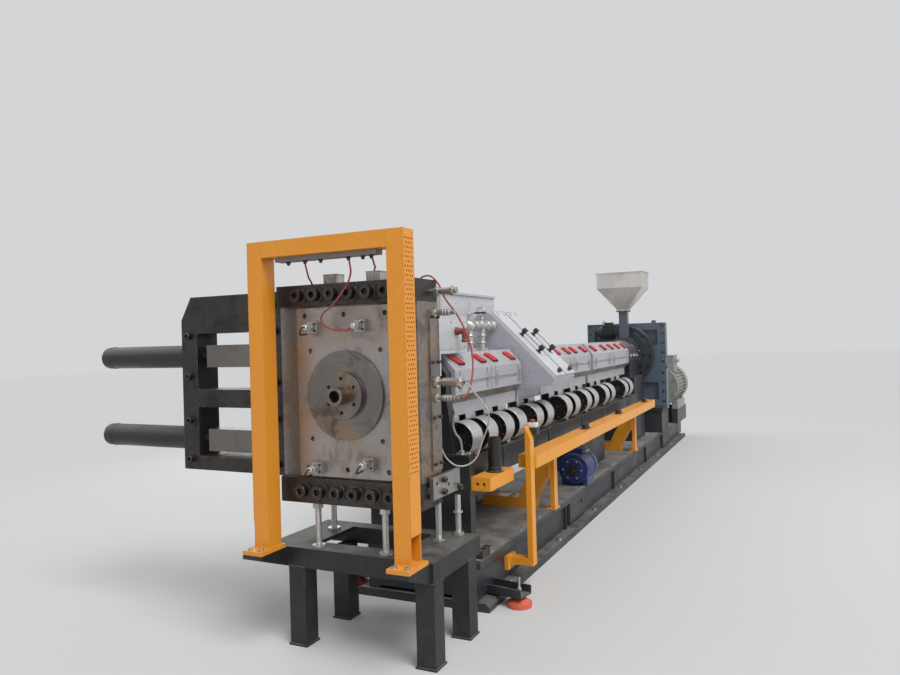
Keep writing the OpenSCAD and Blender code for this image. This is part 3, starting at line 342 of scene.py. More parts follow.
# Settled dust on what faces up, and splashed dirt that grows towards the floor
settled, given, out = effect("settled dust", [("Amount", 0.5)], [("Dust", "Float"), ("Dirt", "Float")])
spot = spot_on(settled)
drift = noise_on(settled, 6.0, 7.0, Vector=spot, Roughness=0.65)
splash = noise_on(settled, 11.0, 6.0, Vector=spot, Roughness=0.7)
facing_up = ramp_on(settled, one_of(settled, put(settled, "NewGeometry").outputs["Normal"], 2), 0.3, 0.95)
lies = math_on(settled, "MULTIPLY", facing_up, ramp_on(settled, drift, 0.30, 0.66, 0.25, 1.0))
low_down = ramp_on(settled, one_of(settled, spot, 2), 0.9, 0.0, 0.12, 1.0)
dirty = math_on(settled, "MULTIPLY", low_down, ramp_on(settled, splash, 0.48, 0.72))
wire(settled, out, Dust=math_on(settled, "MULTIPLY", lies, given.outputs["Amount"], True),
     Dirt=math_on(settled, "MULTIPLY", dirty, given.outputs["Amount"], True))


def placed(tree, group, **values):
    """A shared effect in a material, with this material's own values."""
    made = tree.nodes.new("ShaderNodeGroup")
    made.node_tree = group
    return wire(tree, made, **values).outputs


def painted(name, colour, rough=0.42, under=(0.30, 0.29, 0.28), wear=0.6, dust=0.4, peel=0.35, scale=2.2,
            mottle=1.0, two_tone=None):
    """Workshop paint: cloudy colour, bare metal on worn edges, settled dust, dirt near the floor and
    orange-peel bump. two_tone(tree, colour) may change the base colour by place."""
    material, tree, shader = new_material(name)
    tone = placed(tree, cloudy, Scale=scale)
    edge = placed(tree, edge_wear, Amount=wear)
    lying = placed(tree, settled, Amount=dust)
    varied = two_tone(tree, rgba(colour)) if two_tone else rgba(colour)
    clouds = ramp_on(tree, tone["Broad"], 0.0, 1.0, 0.0, 0.30 * mottle)
    varied = blend_on(tree, clouds, varied, rgba((0.5, 0.5, 0.5)), "OVERLAY")
    grain = ramp_on(tree, tone["Fine"], 0.0, 1.0, 0.0, 0.14 * mottle)
    varied = blend_on(tree, grain, varied, rgba((0.02, 0.02, 0.02)))
    specks = math_on(tree, "MULTIPLY", tone["Specks"], 0.35 * mottle)
    varied = blend_on(tree, specks, varied, rgba(colour, 0.35))
    varied = blend_on(tree, edge["Mask"], varied, rgba(under))
    soil = math_on(tree, "MULTIPLY", lying["Dirt"], 0.75)
    varied = blend_on(tree, soil, varied, rgba((0.085, 0.07, 0.055)))
    varied = blend_on(tree, lying["Dust"], varied, rgba((0.36, 0.34, 0.31)))
    gloss = ramp_on(tree, tone["Broad"], 0.0, 1.0, rough - 0.07, rough + 0.10)
    gloss = math_on(tree, "ADD", gloss, math_on(tree, "MULTIPLY", lying["Dust"], 0.35), True)
    relief = math_on(tree, "SUBTRACT", tone["Fine"], math_on(tree, "MULTIPLY", edge["Mask"], 1.5))
    bump = put(tree, "Bump", Strength=peel, Distance=0.0007, Height=relief, Normal=edge["Normal"])
    wire(tree, shader, Base_Color=varied, Roughness=gloss, Normal=bump.outputs[0],
         Metallic=math_on(tree, "MULTIPLY", edge["Mask"], 0.7))
    return material


def finish_node(material, *nodes):
    """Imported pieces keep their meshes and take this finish."""
    for node in nodes:
        mesh = bpy.data.objects[node].data
        mesh.materials.clear()
        mesh.materials.append(material)


def reach_on(tree, centre):
    """Distance of the place from the line through `centre` along Y."""
    off = put(tree, "VectorMath", {"operation": "SUBTRACT"}, in0=spot_on(tree), in1=centre).outputs[0]
    level = put(tree, "VectorMath", {"operation": "MULTIPLY"}, in0=off, in1=(1.0, 0.0, 1.0)).outputs[0]
    return put(tree, "VectorMath", {"operation": "LENGTH"}, in0=level).outputs["Value"]


def bare_steel(name, colour, rough=0.34, grain=(1.0, 1.0, 1.0), stain=(0.10, 0.075, 0.06), stained=0.6,
               heat=0.0, dust=0.2, wear=0.35, spun=None):
    """Machined steel: fine lines stretched by `grain`, or lathe rings whose place is the distance from
    the line through `spun` along Y; darker oily stains, straw and blue heat tints and bright edges."""
    material, tree, shader = new_material(name)
    spot = spot_on(tree)
    tone = placed(tree, cloudy, Scale=2.6)
    edge = placed(tree, edge_wear, Amount=wear, Radius=0.003)
    lying = placed(tree, settled, Amount=dust)
    if spun:
        lined = put(tree, "CombineXYZ", X=math_on(tree, "MULTIPLY", reach_on(tree, spun), 5.0)).outputs[0]
    else:
        lined = put(tree, "Mapping", Vector=spot, Scale=grain).outputs[0]
    lines = noise_on(tree, 55.0, 3.0, Vector=lined)
    blots = noise_on(tree, 7.0, 8.0, Vector=spot, Roughness=0.62, Distortion=0.6)
    varied = blend_on(tree, ramp_on(tree, lines, 0.3, 0.7, 0.0, 0.45), rgba(colour), rgba(colour, 0.62))
    varied = blend_on(tree, ramp_on(tree, tone["Broad"], 0.0, 1.0, 0.0, 0.35), varied, rgba(colour, 0.55))
    if heat:
        tint = noise_on(tree, 3.1, 3.0, Vector=spot)
        varied = blend_on(tree, ramp_on(tree, tint, 0.44, 0.58, 0.0, heat), varied, rgba((0.34, 0.22, 0.12)))
        varied = blend_on(tree, ramp_on(tree, tint, 0.56, 0.68, 0.0, heat), varied, rgba((0.13, 0.13, 0.19)))
    varied = blend_on(tree, ramp_on(tree, blots, 0.50, 0.68, 0.0, stained), varied, rgba(stain))
    varied = blend_on(tree, edge["Mask"], varied, rgba((0.62, 0.60, 0.57)))
    varied = blend_on(tree, lying["Dust"], varied, rgba((0.33, 0.30, 0.27)))
    gloss = math_on(tree, "ADD", ramp_on(tree, lines, 0.3, 0.7, rough - 0.06, rough + 0.08),
                    ramp_on(tree, blots, 0.5, 0.7, 0.0, 0.22), True)
    bump = put(tree, "Bump", Strength=0.28, Distance=0.0006, Height=lines, Normal=edge["Normal"])
    wire(tree, shader, Base_Color=varied, Roughness=gloss, Normal=bump.outputs[0],
         Metallic=ramp_on(tree, blots, 0.5, 0.7, 0.95, 0.55))
    return material


charcoal = painted("charcoal base paint", (0.022, 0.025, 0.031), rough=0.46, under=(0.15, 0.14, 0.135),
                   wear=0.7, dust=0.38)
deck_grey = painted("trodden deck paint", (0.070, 0.075, 0.082), rough=0.52, under=(0.22, 0.215, 0.21),
                    wear=0.8, dust=0.6, scale=3.4)
finish_node(charcoal, "floor_rails", "base_frame")
finish_node(deck_grey, "deck_plate")


def threaded(name, colour, pitch, pad=None, pad_top=0.0):
    """Zinc-plated steel with a fine thread, a sawtooth of the height at the given pitch; below pad_top
    it is the painted pad."""
    material = painted(name, colour, rough=0.3, under=(0.42, 0.40, 0.37), wear=0.3, dust=0.25, peel=0.2)
    tree = material.node_tree
    shader = tree.nodes["Principled BSDF"]
    height = one_of(tree, spot_on(tree), 2)
    above = math_on(tree, "GREATER_THAN", height, pad_top)
    if pad:
        plated = shader.inputs["Base Color"].links[0].from_socket
        wire(tree, shader, Base_Color=blend_on(tree, above, blend_on(tree, 0.93, plated, rgba(pad)), plated))
    tooth = math_on(tree, "PINGPONG", math_on(tree, "DIVIDE", height, pitch), 0.5)
    thread = put(tree, "Bump", Strength=0.9, Distance=0.0012, Height=math_on(tree, "MULTIPLY", tooth, above),
                 Normal=shader.inputs["Normal"].links[0].from_socket)
    wire(tree, shader, Metallic=math_on(tree, "MULTIPLY", above, 0.92), Normal=thread.outputs[0])
    return material


pad_top = 0.0465
finish_node(threaded("levelling bolt on its pad", (0.60, 0.60, 0.58), 0.003, (0.60, 0.075, 0.028), pad_top),
            "levelling_feet")
zinc_screws = bare_steel("zinc-plated screws", (0.50, 0.49, 0.46), rough=0.34, stained=0.5, dust=0.3)


def set_across(way):
    """Two unit directions u and v at right angles to `way`, with u x v = way."""
    way = np.array(way, float) / np.linalg.norm(way)
    u = np.cross(way, (0.0, 0.0, 1.0) if abs(way[2]) < 0.9 else (1.0, 0.0, 0.0))
    u /= np.linalg.norm(u)
    return u, np.cross(way, u), way


def turned(profile, at, way=(0, 0, 1), sides=24):
    """A profile of (radius, height) steps turned about `way` at one place or at many. A third value of 1
    makes that ring a hexagon, whose radius is r / cos(((a + 30) mod 60) - 30) in degrees."""
    steps = np.array([(*step, 0.0)[:3] for step in profile])
    u, v, w = set_across(way)
    a = np.linspace(0, 2 * np.pi, sides, endpoint=False)
    flats = 1 / np.cos((a + np.pi / 6) % (np.pi / 3) - np.pi / 6)
    reach = steps[:, :1] * (1 + steps[:, 2:] * (flats - 1))
    ring = (reach * np.cos(a))[..., None] * u + (reach * np.sin(a))[..., None] * v
    ring = ring + steps[:, 1, None, None] * w
    return (machine_zero + np.atleast_2d(np.array(at, float)))[:, None, None] + ring


def nut(radius, low, high):
    """The two steps of a hexagon between two heights, for a turned profile."""
    return [(radius, low, 1), (radius, high, 1)]


def screwed_joint(r1, h1, r2, h2, r3, h3, *end):
    """Profile of a pipe joint or cable gland: a nut up to h1, a neck up to h2 and a nut up to h3."""
    gap = 0.002
    return [*nut(r1, 0, h1), (r2, h1 + gap), (r2, h2), *nut(r3, h2 + gap, h3), *end]


def hex_heads(d, at, way=(0, 0, 1)):
    """Hexagon heads 1.6 d across flats and 0.65 d high, each on its washer."""
    washer = [(1.1 * d, 0), (1.1 * d, 0.15 * d)]
    return turned([*washer, *nut(0.8 * d, 0.15 * d, 0.7 * d), (0.72 * d, 0.8 * d)], at, way, 12)


def socket_heads(d, at, way=(0, 0, 1)):
    """Cap screws: round heads 1.5 d wide and d high with a hexagon socket 0.85 d across."""
    return turned([(0.75 * d, 0), (0.75 * d, 0.9 * d), (0.67 * d, d), *nut(0.43 * d, d, 0.5 * d)], at, way)


def pan_heads(d, at, way=(0, 0, 1)):
    """Low domed screw heads of width d."""
    dome = [(0.5 * d, 0), (0.5 * d, 0.12 * d), (0.40 * d, 0.27 * d), (0.15 * d, 0.33 * d)]
    return turned(dome, at, way, 12)


def block(lo, hi, corner=0.003, shifts=((0.0, 0.0, 0.0),)):
    """Boxes with rounded edges: four quarter arcs of the corner radius, pulled in by 0.7 of it at both
    ends. One box between two corners, and a copy at each shift."""
    lo, hi = np.array(lo, float), np.array(hi, float)
    half = (hi - lo) / 2
    corner = min(corner, 0.45 * half.min())
    a = np.radians(np.repeat([0, 90, 180, 270], 4) + np.tile([0, 30, 60, 90], 4))
    side = np.array([np.repeat([1, -1, -1, 1], 4), np.repeat([1, 1, -1, -1], 4)])
    inset = corner * np.array([0.7, 0.2, 0.0, 0.0, 0.2, 0.7])
    rise = corner * np.array([0.0, 0.2, 0.7])
    z = lo[2] + np.concatenate([rise, 2 * half[2] - rise[::-1]])
    ring = np.empty((6, 16, 3))
    for i, wave in enumerate((np.cos(a), np.sin(a))):
        ring[..., i] = (lo + half)[i] + side[i] * (half[i] - corner) + (corner - inset[:, None]) * wave
    ring[..., 2] = z[:, None]
    return (machine_zero + np.array(shifts, float))[:, None, None] + ring


def weld_line(start, end, thick=0.004):
    """A welded seam: a thin roll whose radius swells as 1 + 0.2 sin, one swell every 9 mm."""
    start, end = machine_zero + start, machine_zero + end
    run = np.linalg.norm(end - start)
    t = np.linspace(0, 1, max(8, int(run / 0.003)))
    swell = 1 + 0.2 * np.sin(t * run / 0.009 * 2 * np.pi)
    return round_along(start + t[:, None] * (end - start), thick * swell, 6)


def both(value):
    """The same distance to both sides."""
    return -value, value


def spots(*along):
    """Every place of a grid, from one value or several along each of X, Y and Z."""
    return np.array(list(product(*(np.atleast_1d(values) for values in along))), float)


rail_screws = spots(both(0.412), np.arange(1.3, 8.4, 1.0), 0.050)
deck_top = corners("deck_plate")[1][2]
deck_screw_x = 0.368
deck_y = np.array([1.12, 1.62, 1.98, 2.52, 3.05, 3.62, 4.15, 4.70, 5.30, 5.85, 6.35, 7.40])
# On the left the tall casing covers some of the deck's screws
tower_lo, tower_hi = corners("tower_casing")
open_y = deck_y[(deck_y < tower_lo[1]) | (deck_y > tower_hi[1])]
deck_screws = [*spots(deck_screw_x, deck_y, deck_top), *spots(-deck_screw_x, open_y, deck_top)]
made_piece("base_screws", [hex_heads(0.020, rail_screws), hex_heads(0.010, deck_screws)], zinc_screws)
lug_welds = [weld_line([x, y, 0.076], [x, y, 0.235], 0.0035)
             for x in (0.371, -0.371) for lug_y in (2.68, 6.90) for y in (lug_y - 0.002, lug_y + 0.482)]
arm_welds = [weld_line([x, y, 0.064], [x, y, 0.110]) for x in both(0.361) for y in (1.044, 1.172)]
made_piece("base_welds", lug_welds + arm_welds, charcoal)


# Pedestals and air duct
# Folded and welded plate in near-black paint, bolted to the deck. The eight-sided saddle plate carries
# the barrel, the closed duct lies behind it under the blowers.
black_paint = painted("near-black paint", (0.012, 0.0135, 0.017), rough=0.40, under=(0.15, 0.145, 0.14),
                      wear=0.5, dust=0.22)
finish_node(black_paint, "front_pedestal", "rear_pedestals", "fan_tray")
pedestal_screws = spots((-0.320, -0.275, 0.315), 0.948, 0.886)
made_piece("pedestal_screws", [hex_heads(0.016, pedestal_screws)], zinc_screws)
to_front, to_back, to_right, to_left, down = (0, -1, 0), (0, 1, 0), (1, 0, 0), (-1, 0, 0), (0, 0, -1)


def circle_of(count, radius, y, x=0.0, z=screw_z, start=0.0):
    """Places of screws on a circle round a shaft along Y."""
    a = start + np.arange(count) * 2 * np.pi / count
    return np.stack([x + radius * np.cos(a), np.full(count, y), z + radius * np.sin(a)], axis=1)


dark_screws = bare_steel("black oxide screws", (0.085, 0.080, 0.076), rough=0.36, stained=0.4, dust=0.3,
                         wear=0.5)
saddle_screws = circle_of(8, 0.150, 0.915, start=np.pi / 8)
made_piece("saddle_screws", [socket_heads(0.016, saddle_screws, to_front)], dark_screws)
duct_side = corners("fan_tray")[1][0]
duct_seams = block((duct_side - 0.0005, 1.52, 0.696), (duct_side + 0.0035, 1.556, 0.847), 0.0015,
                   [(0, 0.94 * i, 0) for i in range(5)])
duct_screws = spots(duct_side, np.arange(1.10, 5.75, 0.24), (0.708, 0.835))
made_piece("duct_seams", [duct_seams, pan_heads(0.011, duct_screws, to_right)], black_paint)
conduit_y, conduit_foot_x = 0.930, 0.282
drain = [(0.239, conduit_y, 1.135), (0.233, conduit_y, 1.090), (0.231, conduit_y, 1.040),
         (0.248, conduit_y, 1.000), (0.270, conduit_y, 0.975), (0.280, conduit_y, 0.940),
         (conduit_foot_x, conduit_y, 0.893)]
grey_tube = painted("grey conduit", (0.20, 0.20, 0.205), rough=0.4, wear=0.2, dust=0.3)
made_piece("pedestal_conduit", [round_along(machine_zero + smooth_route(drain, 40), 0.008)], grey_tube)
conduit_foot = [(0.034, 0), (0.034, 0.007), (0.016, 0.008), (0.016, 0.022), (0.012, 0.025)]
conduit_nut = [*nut(0.014, 0, 0.016), (0.010, 0.02)]
foot_bolts = [(conduit_foot_x + dx, conduit_y, 0.893) for dx in both(0.025)]
made_piece("conduit_fittings", [turned(conduit_foot, (conduit_foot_x, conduit_y, 0.886)),
                                turned(conduit_nut, (0.239, conduit_y, 1.128), sides=12),
                                hex_heads(0.006, foot_bolts)], zinc_screws)


# Barrel
# Turned steel tube, brown and blue from the heat near the block. Its flanges between the block and the
# first cover are held by cap screws and hexagon bolts.
heated_steel = bare_steel("heat-tinted barrel steel", (0.42, 0.39, 0.36), grain=(1, 14, 1), heat=0.7)
finish_node(heated_steel, "barrel")
flange_r = 0.142
made_piece("barrel_flange_screws", [socket_heads(0.020, circle_of(12, flange_r, 0.805), to_front),
                                    hex_heads(0.020, circle_of(12, flange_r, 0.865), to_back),
                                    hex_heads(0.020, circle_of(12, flange_r, 0.540), to_back)],
           dark_screws)


# Barrel covers
# Six insulated sheet covers in pale lavender-grey paint, each two half shells that meet at the sides
# and are held by toggle latches. Pairs of red heater plugs lie aslant on the upper chamfers.
def facing_on(tree, axis):
    """How far a face looks along one axis, from -1 to 1."""
    return one_of(tree, put(tree, "NewGeometry").outputs["True Normal"], axis)


def cover_painted_shade(tree, paint):
    """Painted shade: the paint darkened towards brown, in patches, on the faces that look down."""
    patches = ramp_on(tree, noise_on(tree, 3.6, 5.0, Vector=spot_on(tree)), 0.35, 0.60, 0.45, 0.95)
    looks_down = ramp_on(tree, facing_on(tree, 2), -0.70, -0.35, 1.0, 0.0)
    return blend_on(tree, math_on(tree, "MULTIPLY", looks_down, patches), paint, rgba((0.17, 0.135, 0.10)))


# The covers' paint carries painted shade, brown and in patches, on the faces that look down.
cover_paint = painted("lavender-grey cover paint with painted shade", (0.37, 0.373, 0.408), rough=0.34, wear=0.35, dust=0.2,
                      peel=0.2, mottle=0.6, two_tone=cover_painted_shade)
finish_node(cover_paint, *(f"barrel_cover_{number}" for number in range(1, 7)))
bright_zinc = bare_steel("bright zinc plate", (0.66, 0.66, 0.65), rough=0.28, stained=0.25, dust=0.15)
finish_node(bright_zinc, "cover_latches")


def mirrored(grid):
    """The same piece on the other side of the screw axis; its rings turn the other way round."""
    grid = np.array(grid)[..., ::-1, :]
    grid[..., 0] = 2 * machine_zero[0] - grid[..., 0]
    return grid


loop_knots = np.array([(0.2385, -0.011, -0.017), (0.2385, -0.011, 0.033), (0.232, -0.011, 0.053),
                       (0.226, -0.005, 0.060), (0.226, 0.005, 0.060), (0.232, 0.011, 0.053),
                       (0.2385, 0.011, 0.033), (0.2385, 0.011, -0.017)])
cover_side = 0.2195
loops, hooks, lips, screws_up, screws_out = [], [], [], [], []
for number in range(1, 7):
    front, back = corners(f"barrel_cover_{number}")[:, 1]
    for share in (0.12, 0.88):
        latch = np.array([0.0, front + share * (back - front), screw_z])
        loops.append(round_along(machine_zero + smooth_route(loop_knots + latch, 30), 0.0018, 6))
        hooks.append(block(latch + [0.219, -0.010, 0.052], latch + [0.231, 0.010, 0.068], 0.002))
    for z in (screw_z + 0.0018, screw_z - 0.0078):
        lip_end = (cover_side + 0.005, back - 0.008, z + 0.006)
        lips.append(block((cover_side, front + 0.008, z), lip_end, 0.001))
    for y in (front + 0.016, back - 0.016):
        screws_up += [(x, y, screw_z + 0.175) for x in (-0.095, 0.0, 0.095)]
        screws_out += [(0.220, y, screw_z + dz) for dz in both(0.052)]
made_piece("latch_loops", loops + hooks + [mirrored(g) for g in loops + hooks], bright_zinc)
made_piece("cover_lips", lips + [mirrored(g) for g in lips], cover_paint)
side_screws = pan_heads(0.010, screws_out, to_right)
made_piece("cover_screws", [pan_heads(0.010, screws_up), side_screws, mirrored(side_screws)], zinc_screws)
plug_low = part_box("heater_plugs")[0][2]


def plug_tones(tree, red):
    """Red sleeves with short black boots at the lower ends."""
    above_boot = ramp_on(tree, one_of(tree, spot_on(tree), 2), plug_low + 0.012, plug_low + 0.014)
    return blend_on(tree, above_boot, rgba((0.018, 0.018, 0.020)), red)


plug_red = painted("red plug sleeves", (0.58, 0.030, 0.030), rough=0.4, wear=0.0, dust=0.12, scale=9.0,
                   two_tone=plug_tones)
finish_node(plug_red, "heater_plugs")


# Blowers
# Seven double blowers: black pressed side plates set back in galvanised bands, with a black motor
# between the two scrolls, standing on the duct and blowing up into the covers' air boxes.
blower_x = 0.225
shaft_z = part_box("blower_1")[0][2] + 0.1175


def band_share(tree):
    """1 on the bands, which look away from the shaft line and lie far from it; 0 elsewhere."""
    reach = reach_on(tree, (machine_zero[0] + blower_x, 0.0, shaft_z))
    sideways = math_on(tree, "LESS_THAN", math_on(tree, "ABSOLUTE", facing_on(tree, 1)), 0.6)
    return math_on(tree, "MULTIPLY", math_on(tree, "GREATER_THAN", reach, 0.081), sideways)


def band_tones(tree, black):
    """Black blowers with bright galvanised bands."""
    return blend_on(tree, band_share(tree), black, rgba((0.60, 0.60, 0.615)))


blower_paint = painted("black blower with bright bands", (0.014, 0.014, 0.016), rough=0.38,
                       under=(0.30, 0.30, 0.29), wear=0.4, dust=0.2, two_tone=band_tones)
blower_tree = blower_paint.node_tree
wire(blower_tree, blower_tree.nodes["Principled BSDF"],
     Metallic=math_on(blower_tree, "MULTIPLY", band_share(blower_tree), 0.8))
finish_node(blower_paint, *(f"blower_{number}" for number in range(1, 8)))


def hoop(at, radius, wire_r, count=36):
    """A wire ring round a shaft along Y."""
    a = np.linspace(0, 2 * np.pi, count)
    ring = radius * np.stack([np.cos(a), 0 * a, np.sin(a)], axis=1)
    return round_along(machine_zero + at + ring, wire_r, 6)


def scroll_edge(y):
    """The rolled edge of a band: down from the mouth, round the spiral r = r0 + (r1 - r0) t at the angle
    125 - 305 t degrees, and up to the mouth again."""
    t = np.linspace(0, 1, 44)
    r, a = 0.0905 + 0.032 * t, np.radians(125 - 305 * t)
    x = np.concatenate([[r[0] * np.cos(a[0])], r * np.cos(a), [-r[-1]]])
    z = np.concatenate([[0.113], r * np.sin(a), [0.113]])
    route = np.stack([blower_x + x, np.full(len(x), y), shaft_z + z], axis=1)
    return round_along(machine_zero + route, 0.0034, 8)


guard_wire = 0.0018
edges, guards, fins, plate_screws = [], [], [], []
for number in range(1, 8):
    y = corners(f"blower_{number}")[:, 1].mean()
    edges += [scroll_edge(y + dy) for dy in (-0.1925, -0.0525, 0.0525, 0.1925)]
    for dy, reach in ((-0.1655, 0.055), (0.1655, 0.078)):
        hub = np.array([blower_x, y + dy, shaft_z])
        guards += [hoop(hub, reach * share, guard_wire) for share in (1.0, 0.72, 0.44)]
        for turn in 0.4 + np.arange(3) * np.pi / 3:
            arm = 1.04 * reach * np.array([np.cos(turn), 0.0, np.sin(turn)])
            guards.append(round_along(machine_zero + hub + np.array([-arm, arm * 0.01, arm]), guard_wire, 6))
        guards.append(turned([(0.013, 0), (0.013, 0.003), (0.009, 0.005)], hub, (0, np.sign(dy), 0), 12))
    plate_screws.append(pan_heads(0.009, circle_of(8, 0.079, y - 0.1625, blower_x, shaft_z, 0.2), to_front))
    fins.append(turned([(0.059, 0), (0.068, 0.0006), (0.068, 0.0026), (0.059, 0.003)],
                       [(blower_x, y + dy, shaft_z) for dy in np.arange(-0.042, 0.043, 0.012)], to_back))
band_steel = bare_steel("galvanised band edge", (0.56, 0.56, 0.56), rough=0.34, stained=0.2, dust=0.1)
made_piece("blower_band_edges", edges, band_steel)
made_piece("blower_wire_guards", guards, dark_screws)
made_piece("blower_plate_screws", plate_screws, zinc_screws)
made_piece("blower_motor_fins", fins, black_paint)


# Vent housing, lids and suction pipe
# Folded sheet in the covers' paint over the vent of the barrel, closed by two sloping lids with white
# tube handles. The suction pipe is brushed stainless tube with clamped joints, a valve and a gauge.
finish_node(painted("vent housing paint", (0.43, 0.44, 0.50), rough=0.4, wear=0.4, dust=0.3), "vent_housing")
finish_node(painted("vent lid paint", (0.58, 0.59, 0.62), rough=0.36, wear=0.4, dust=0.25), "vent_lids")
stainless = bare_steel("stainless pipe", (0.62, 0.61, 0.59), rough=0.42, stained=0.3, heat=0.2, dust=0.25)
finish_node(stainless, "vacuum_pipe")
lid_hinge = np.array([-0.030, corners("vent_lids")[0][1], 1.740])
lid_pitch, lid_middle, lid_skin = 0.255, 0.1075, 0.022


def on_lid(grid, number):
    """Lays a piece drawn on a level lid (X down the lid, Y across it, Z = 0 underneath) on the slope:
    a turn by 45 degrees about the lid's upper edge."""
    x, y, z = np.moveaxis(np.array(grid) - machine_zero, -1, 0)
    turn = math.sqrt(0.5)
    place = machine_zero + lid_hinge + [0.0, lid_pitch * number, 0.0]
    return place + np.stack([turn * (x + z), y, turn * (z - x)], axis=-1)


handle_x = (0.2644, 0.4453)
handle_foot = [(0.021, 0), (0.021, 0.006), (0.0125, 0.009), (0.0125, 0.036)]
lid_knob = [(0.009, 0), (0.009, 0.012), (0.019, 0.014), (0.019, 0.028), (0.014, 0.033)]
lid_black = [turned(handle_foot, spots(handle_x, lid_middle, lid_skin)),
             turned(lid_knob, (0.655, lid_middle, lid_skin))]
lid_black += [block((x - 0.019, lid_middle - 0.017, 0.046), (x + 0.019, lid_middle + 0.017, 0.081), 0.006)
              for x in handle_x]
hinge_pin = [(0.005, 0), (0.007, 0.002), (0.007, 0.048), (0.005, 0.050)]
lid_metal = []
for y in (0.022, 0.143):
    lid_metal += [turned(hinge_pin, (0.008, y, 0.020), to_back, 16),
                  block((0.010, y, 0.0215), (0.046, y + 0.05, 0.0245), 0.001),
                  pan_heads(0.008, [(0.034, y + dy, 0.0245) for dy in (0.008, 0.025, 0.042)])]
black_plastic = painted("black plastic", (0.018, 0.018, 0.020), rough=0.4, under=(0.07, 0.07, 0.07), wear=0.2,
                        dust=0.2, scale=6.0)
made_piece("lid_handle_mounts", [on_lid(g, n) for n in (0, 1) for g in lid_black], black_plastic)
made_piece("lid_hinges", [on_lid(g, n) for n in (0, 1) for g in lid_metal], bright_zinc)

pipe_z = screw_z + 0.347
valve = np.array([0.0, 1.715, pipe_z])
gauge = np.array([0.0, 1.925, pipe_z])
branch_y = (valve[1], gauge[1])
clamp = [(0.0275, 0), (0.036, 0.002), (0.039, 0.006), (0.039, 0.012), (0.036, 0.016), (0.0275, 0.018)]
small_clamp = [(0.8 * r, 0.9 * h) for r, h in clamp]
valve_stem = [(0.018, 0), (0.018, 0.010), (0.010, 0.012), (0.010, 0.024)]
gauge_stem = [(0.010, 0), (0.010, 0.022), *nut(0.014, 0.024, 0.040), (0.009, 0.044), (0.009, 0.052)]
gauge_case = [(0.030, 0), (0.033, 0.003), (0.033, 0.022), (0.030, 0.026), (0.0275, 0.026), (0.0275, 0.022)]
flange_screws = [(dx, y + dy, screw_z + 0.187) for y in branch_y for dx in both(0.024) for dy in both(0.024)]
pipe_parts = [turned(clamp, spots(0, (1.64, 1.775, 1.865, 1.985, 2.09), pipe_z), to_back),
              turned(clamp, (0, 1.595, pipe_z - 0.075)),
              turned(small_clamp, spots(0, branch_y, (pipe_z - 0.075, pipe_z - 0.125))),
              turned(valve_stem, valve + [0, 0, 0.076]),
              block(valve + [-0.013, -0.013, 0.084], valve + [0.118, 0.013, 0.090], 0.002),
              turned(gauge_stem, gauge + [0, 0, 0.026]),
              turned(gauge_case, gauge + [0, 0.013, 0.106], to_front, 36),
              hex_heads(0.008, flange_screws)]
made_piece("pipe_clamps", pipe_parts, bright_zinc)
lever_grip = block(valve + [0.045, -0.016, 0.081], valve + [0.122, 0.016, 0.093], 0.005)
made_piece("valve_grip", [lever_grip], black_plastic)
white_enamel = painted("white enamel", (0.70, 0.70, 0.68), rough=0.3, wear=0.1, dust=0.15, scale=8.0)
dial = turned([(0.0272, 0), (0.0272, 0.0015), (0.002, 0.002)], gauge + [0, -0.0088, 0.106], to_front, 36)
made_piece("gauge_face", [dial], white_enamel)


# Casings
# Plain sheet boxes in light grey paint with screwed doors: one over the front of the barrel, with a
# rust-red pipe elbow on its right wall, and a tall one on the far side with louvred doors.
casing_grey, rust_tone = (0.50, 0.51, 0.535), (0.24, 0.055, 0.035)
casing_paint = painted("light grey casing paint", casing_grey, rough=0.4, wear=0.4, dust=0.25)
finish_node(casing_paint, "tower_casing")
casing_side = 0.200


def elbow_tones(tree, grey):
    """Rust-red elbow beyond the casing's right wall."""
    beyond = math_on(tree, "GREATER_THAN", one_of(tree, spot_on(tree), 0), screw_x + casing_side + 0.0005)
    return blend_on(tree, beyond, grey, rgba(rust_tone))


elbow_casing = painted("casing paint with red elbow", casing_grey, rough=0.4, wear=0.4, dust=0.25,
                       two_tone=elbow_tones)
finish_node(elbow_casing, "front_casing")
rust_red = painted("rust-red primer", rust_tone, rough=0.55, wear=0.5, dust=0.3, scale=8.0)
elbow = np.array([casing_side, 1.065, 1.598])
elbow_knots = [(0.015, 0, 0), (0.043, 0, 0), (0.058, 0, -0.008), (0.062, 0, -0.023), (0.062, 0, -0.053)]
elbow_route = machine_zero + elbow + smooth_route(elbow_knots, 24)
elbow_collar = [(0.024, 0), (0.024, 0.016), (0.020, 0.018)]
elbow_mouth = [(0.020, 0), (0.024, 0.002), (0.024, 0.016), (0.017, 0.018), (0.012, 0.018), (0.012, 0.008)]
made_piece("casing_elbow", [round_along(elbow_route, 0.0195, 20),
                            turned(elbow_collar, elbow + [0.0005, 0, 0], to_right),
                            turned(elbow_mouth, elbow + [0.062, 0, -0.050], down)], rust_red)
door_z, door_top = 1.490, 1.668
doors = [block((casing_side - 0.0005, 0.795, door_z), (casing_side + 0.0025, 1.200, door_top), 0.001),
         block((-0.175, 0.7675, door_z), (0.175, 0.7705, door_top), 0.001),
         block((-0.190, 0.785, 1.6895), (0.190, 1.210, 1.693), 0.001)]
door_rows = (door_z + 0.015, door_top - 0.015)
door_screws = [pan_heads(0.011, spots(casing_side + 0.0025, (0.812, 0.997, 1.183), door_rows), to_right),
               pan_heads(0.011, spots((-0.160, 0.0, 0.160), 0.7675, door_rows), to_front)]
made_piece("front_casing_doors", doors, casing_paint)
made_piece("front_casing_screws", door_screws, zinc_screws)
tower_hinge = [(0.006, 0), (0.008, 0.002), (0.008, 0.068), (0.006, 0.070)]
tower_doors, tower_metal, tower_black = [], [], []
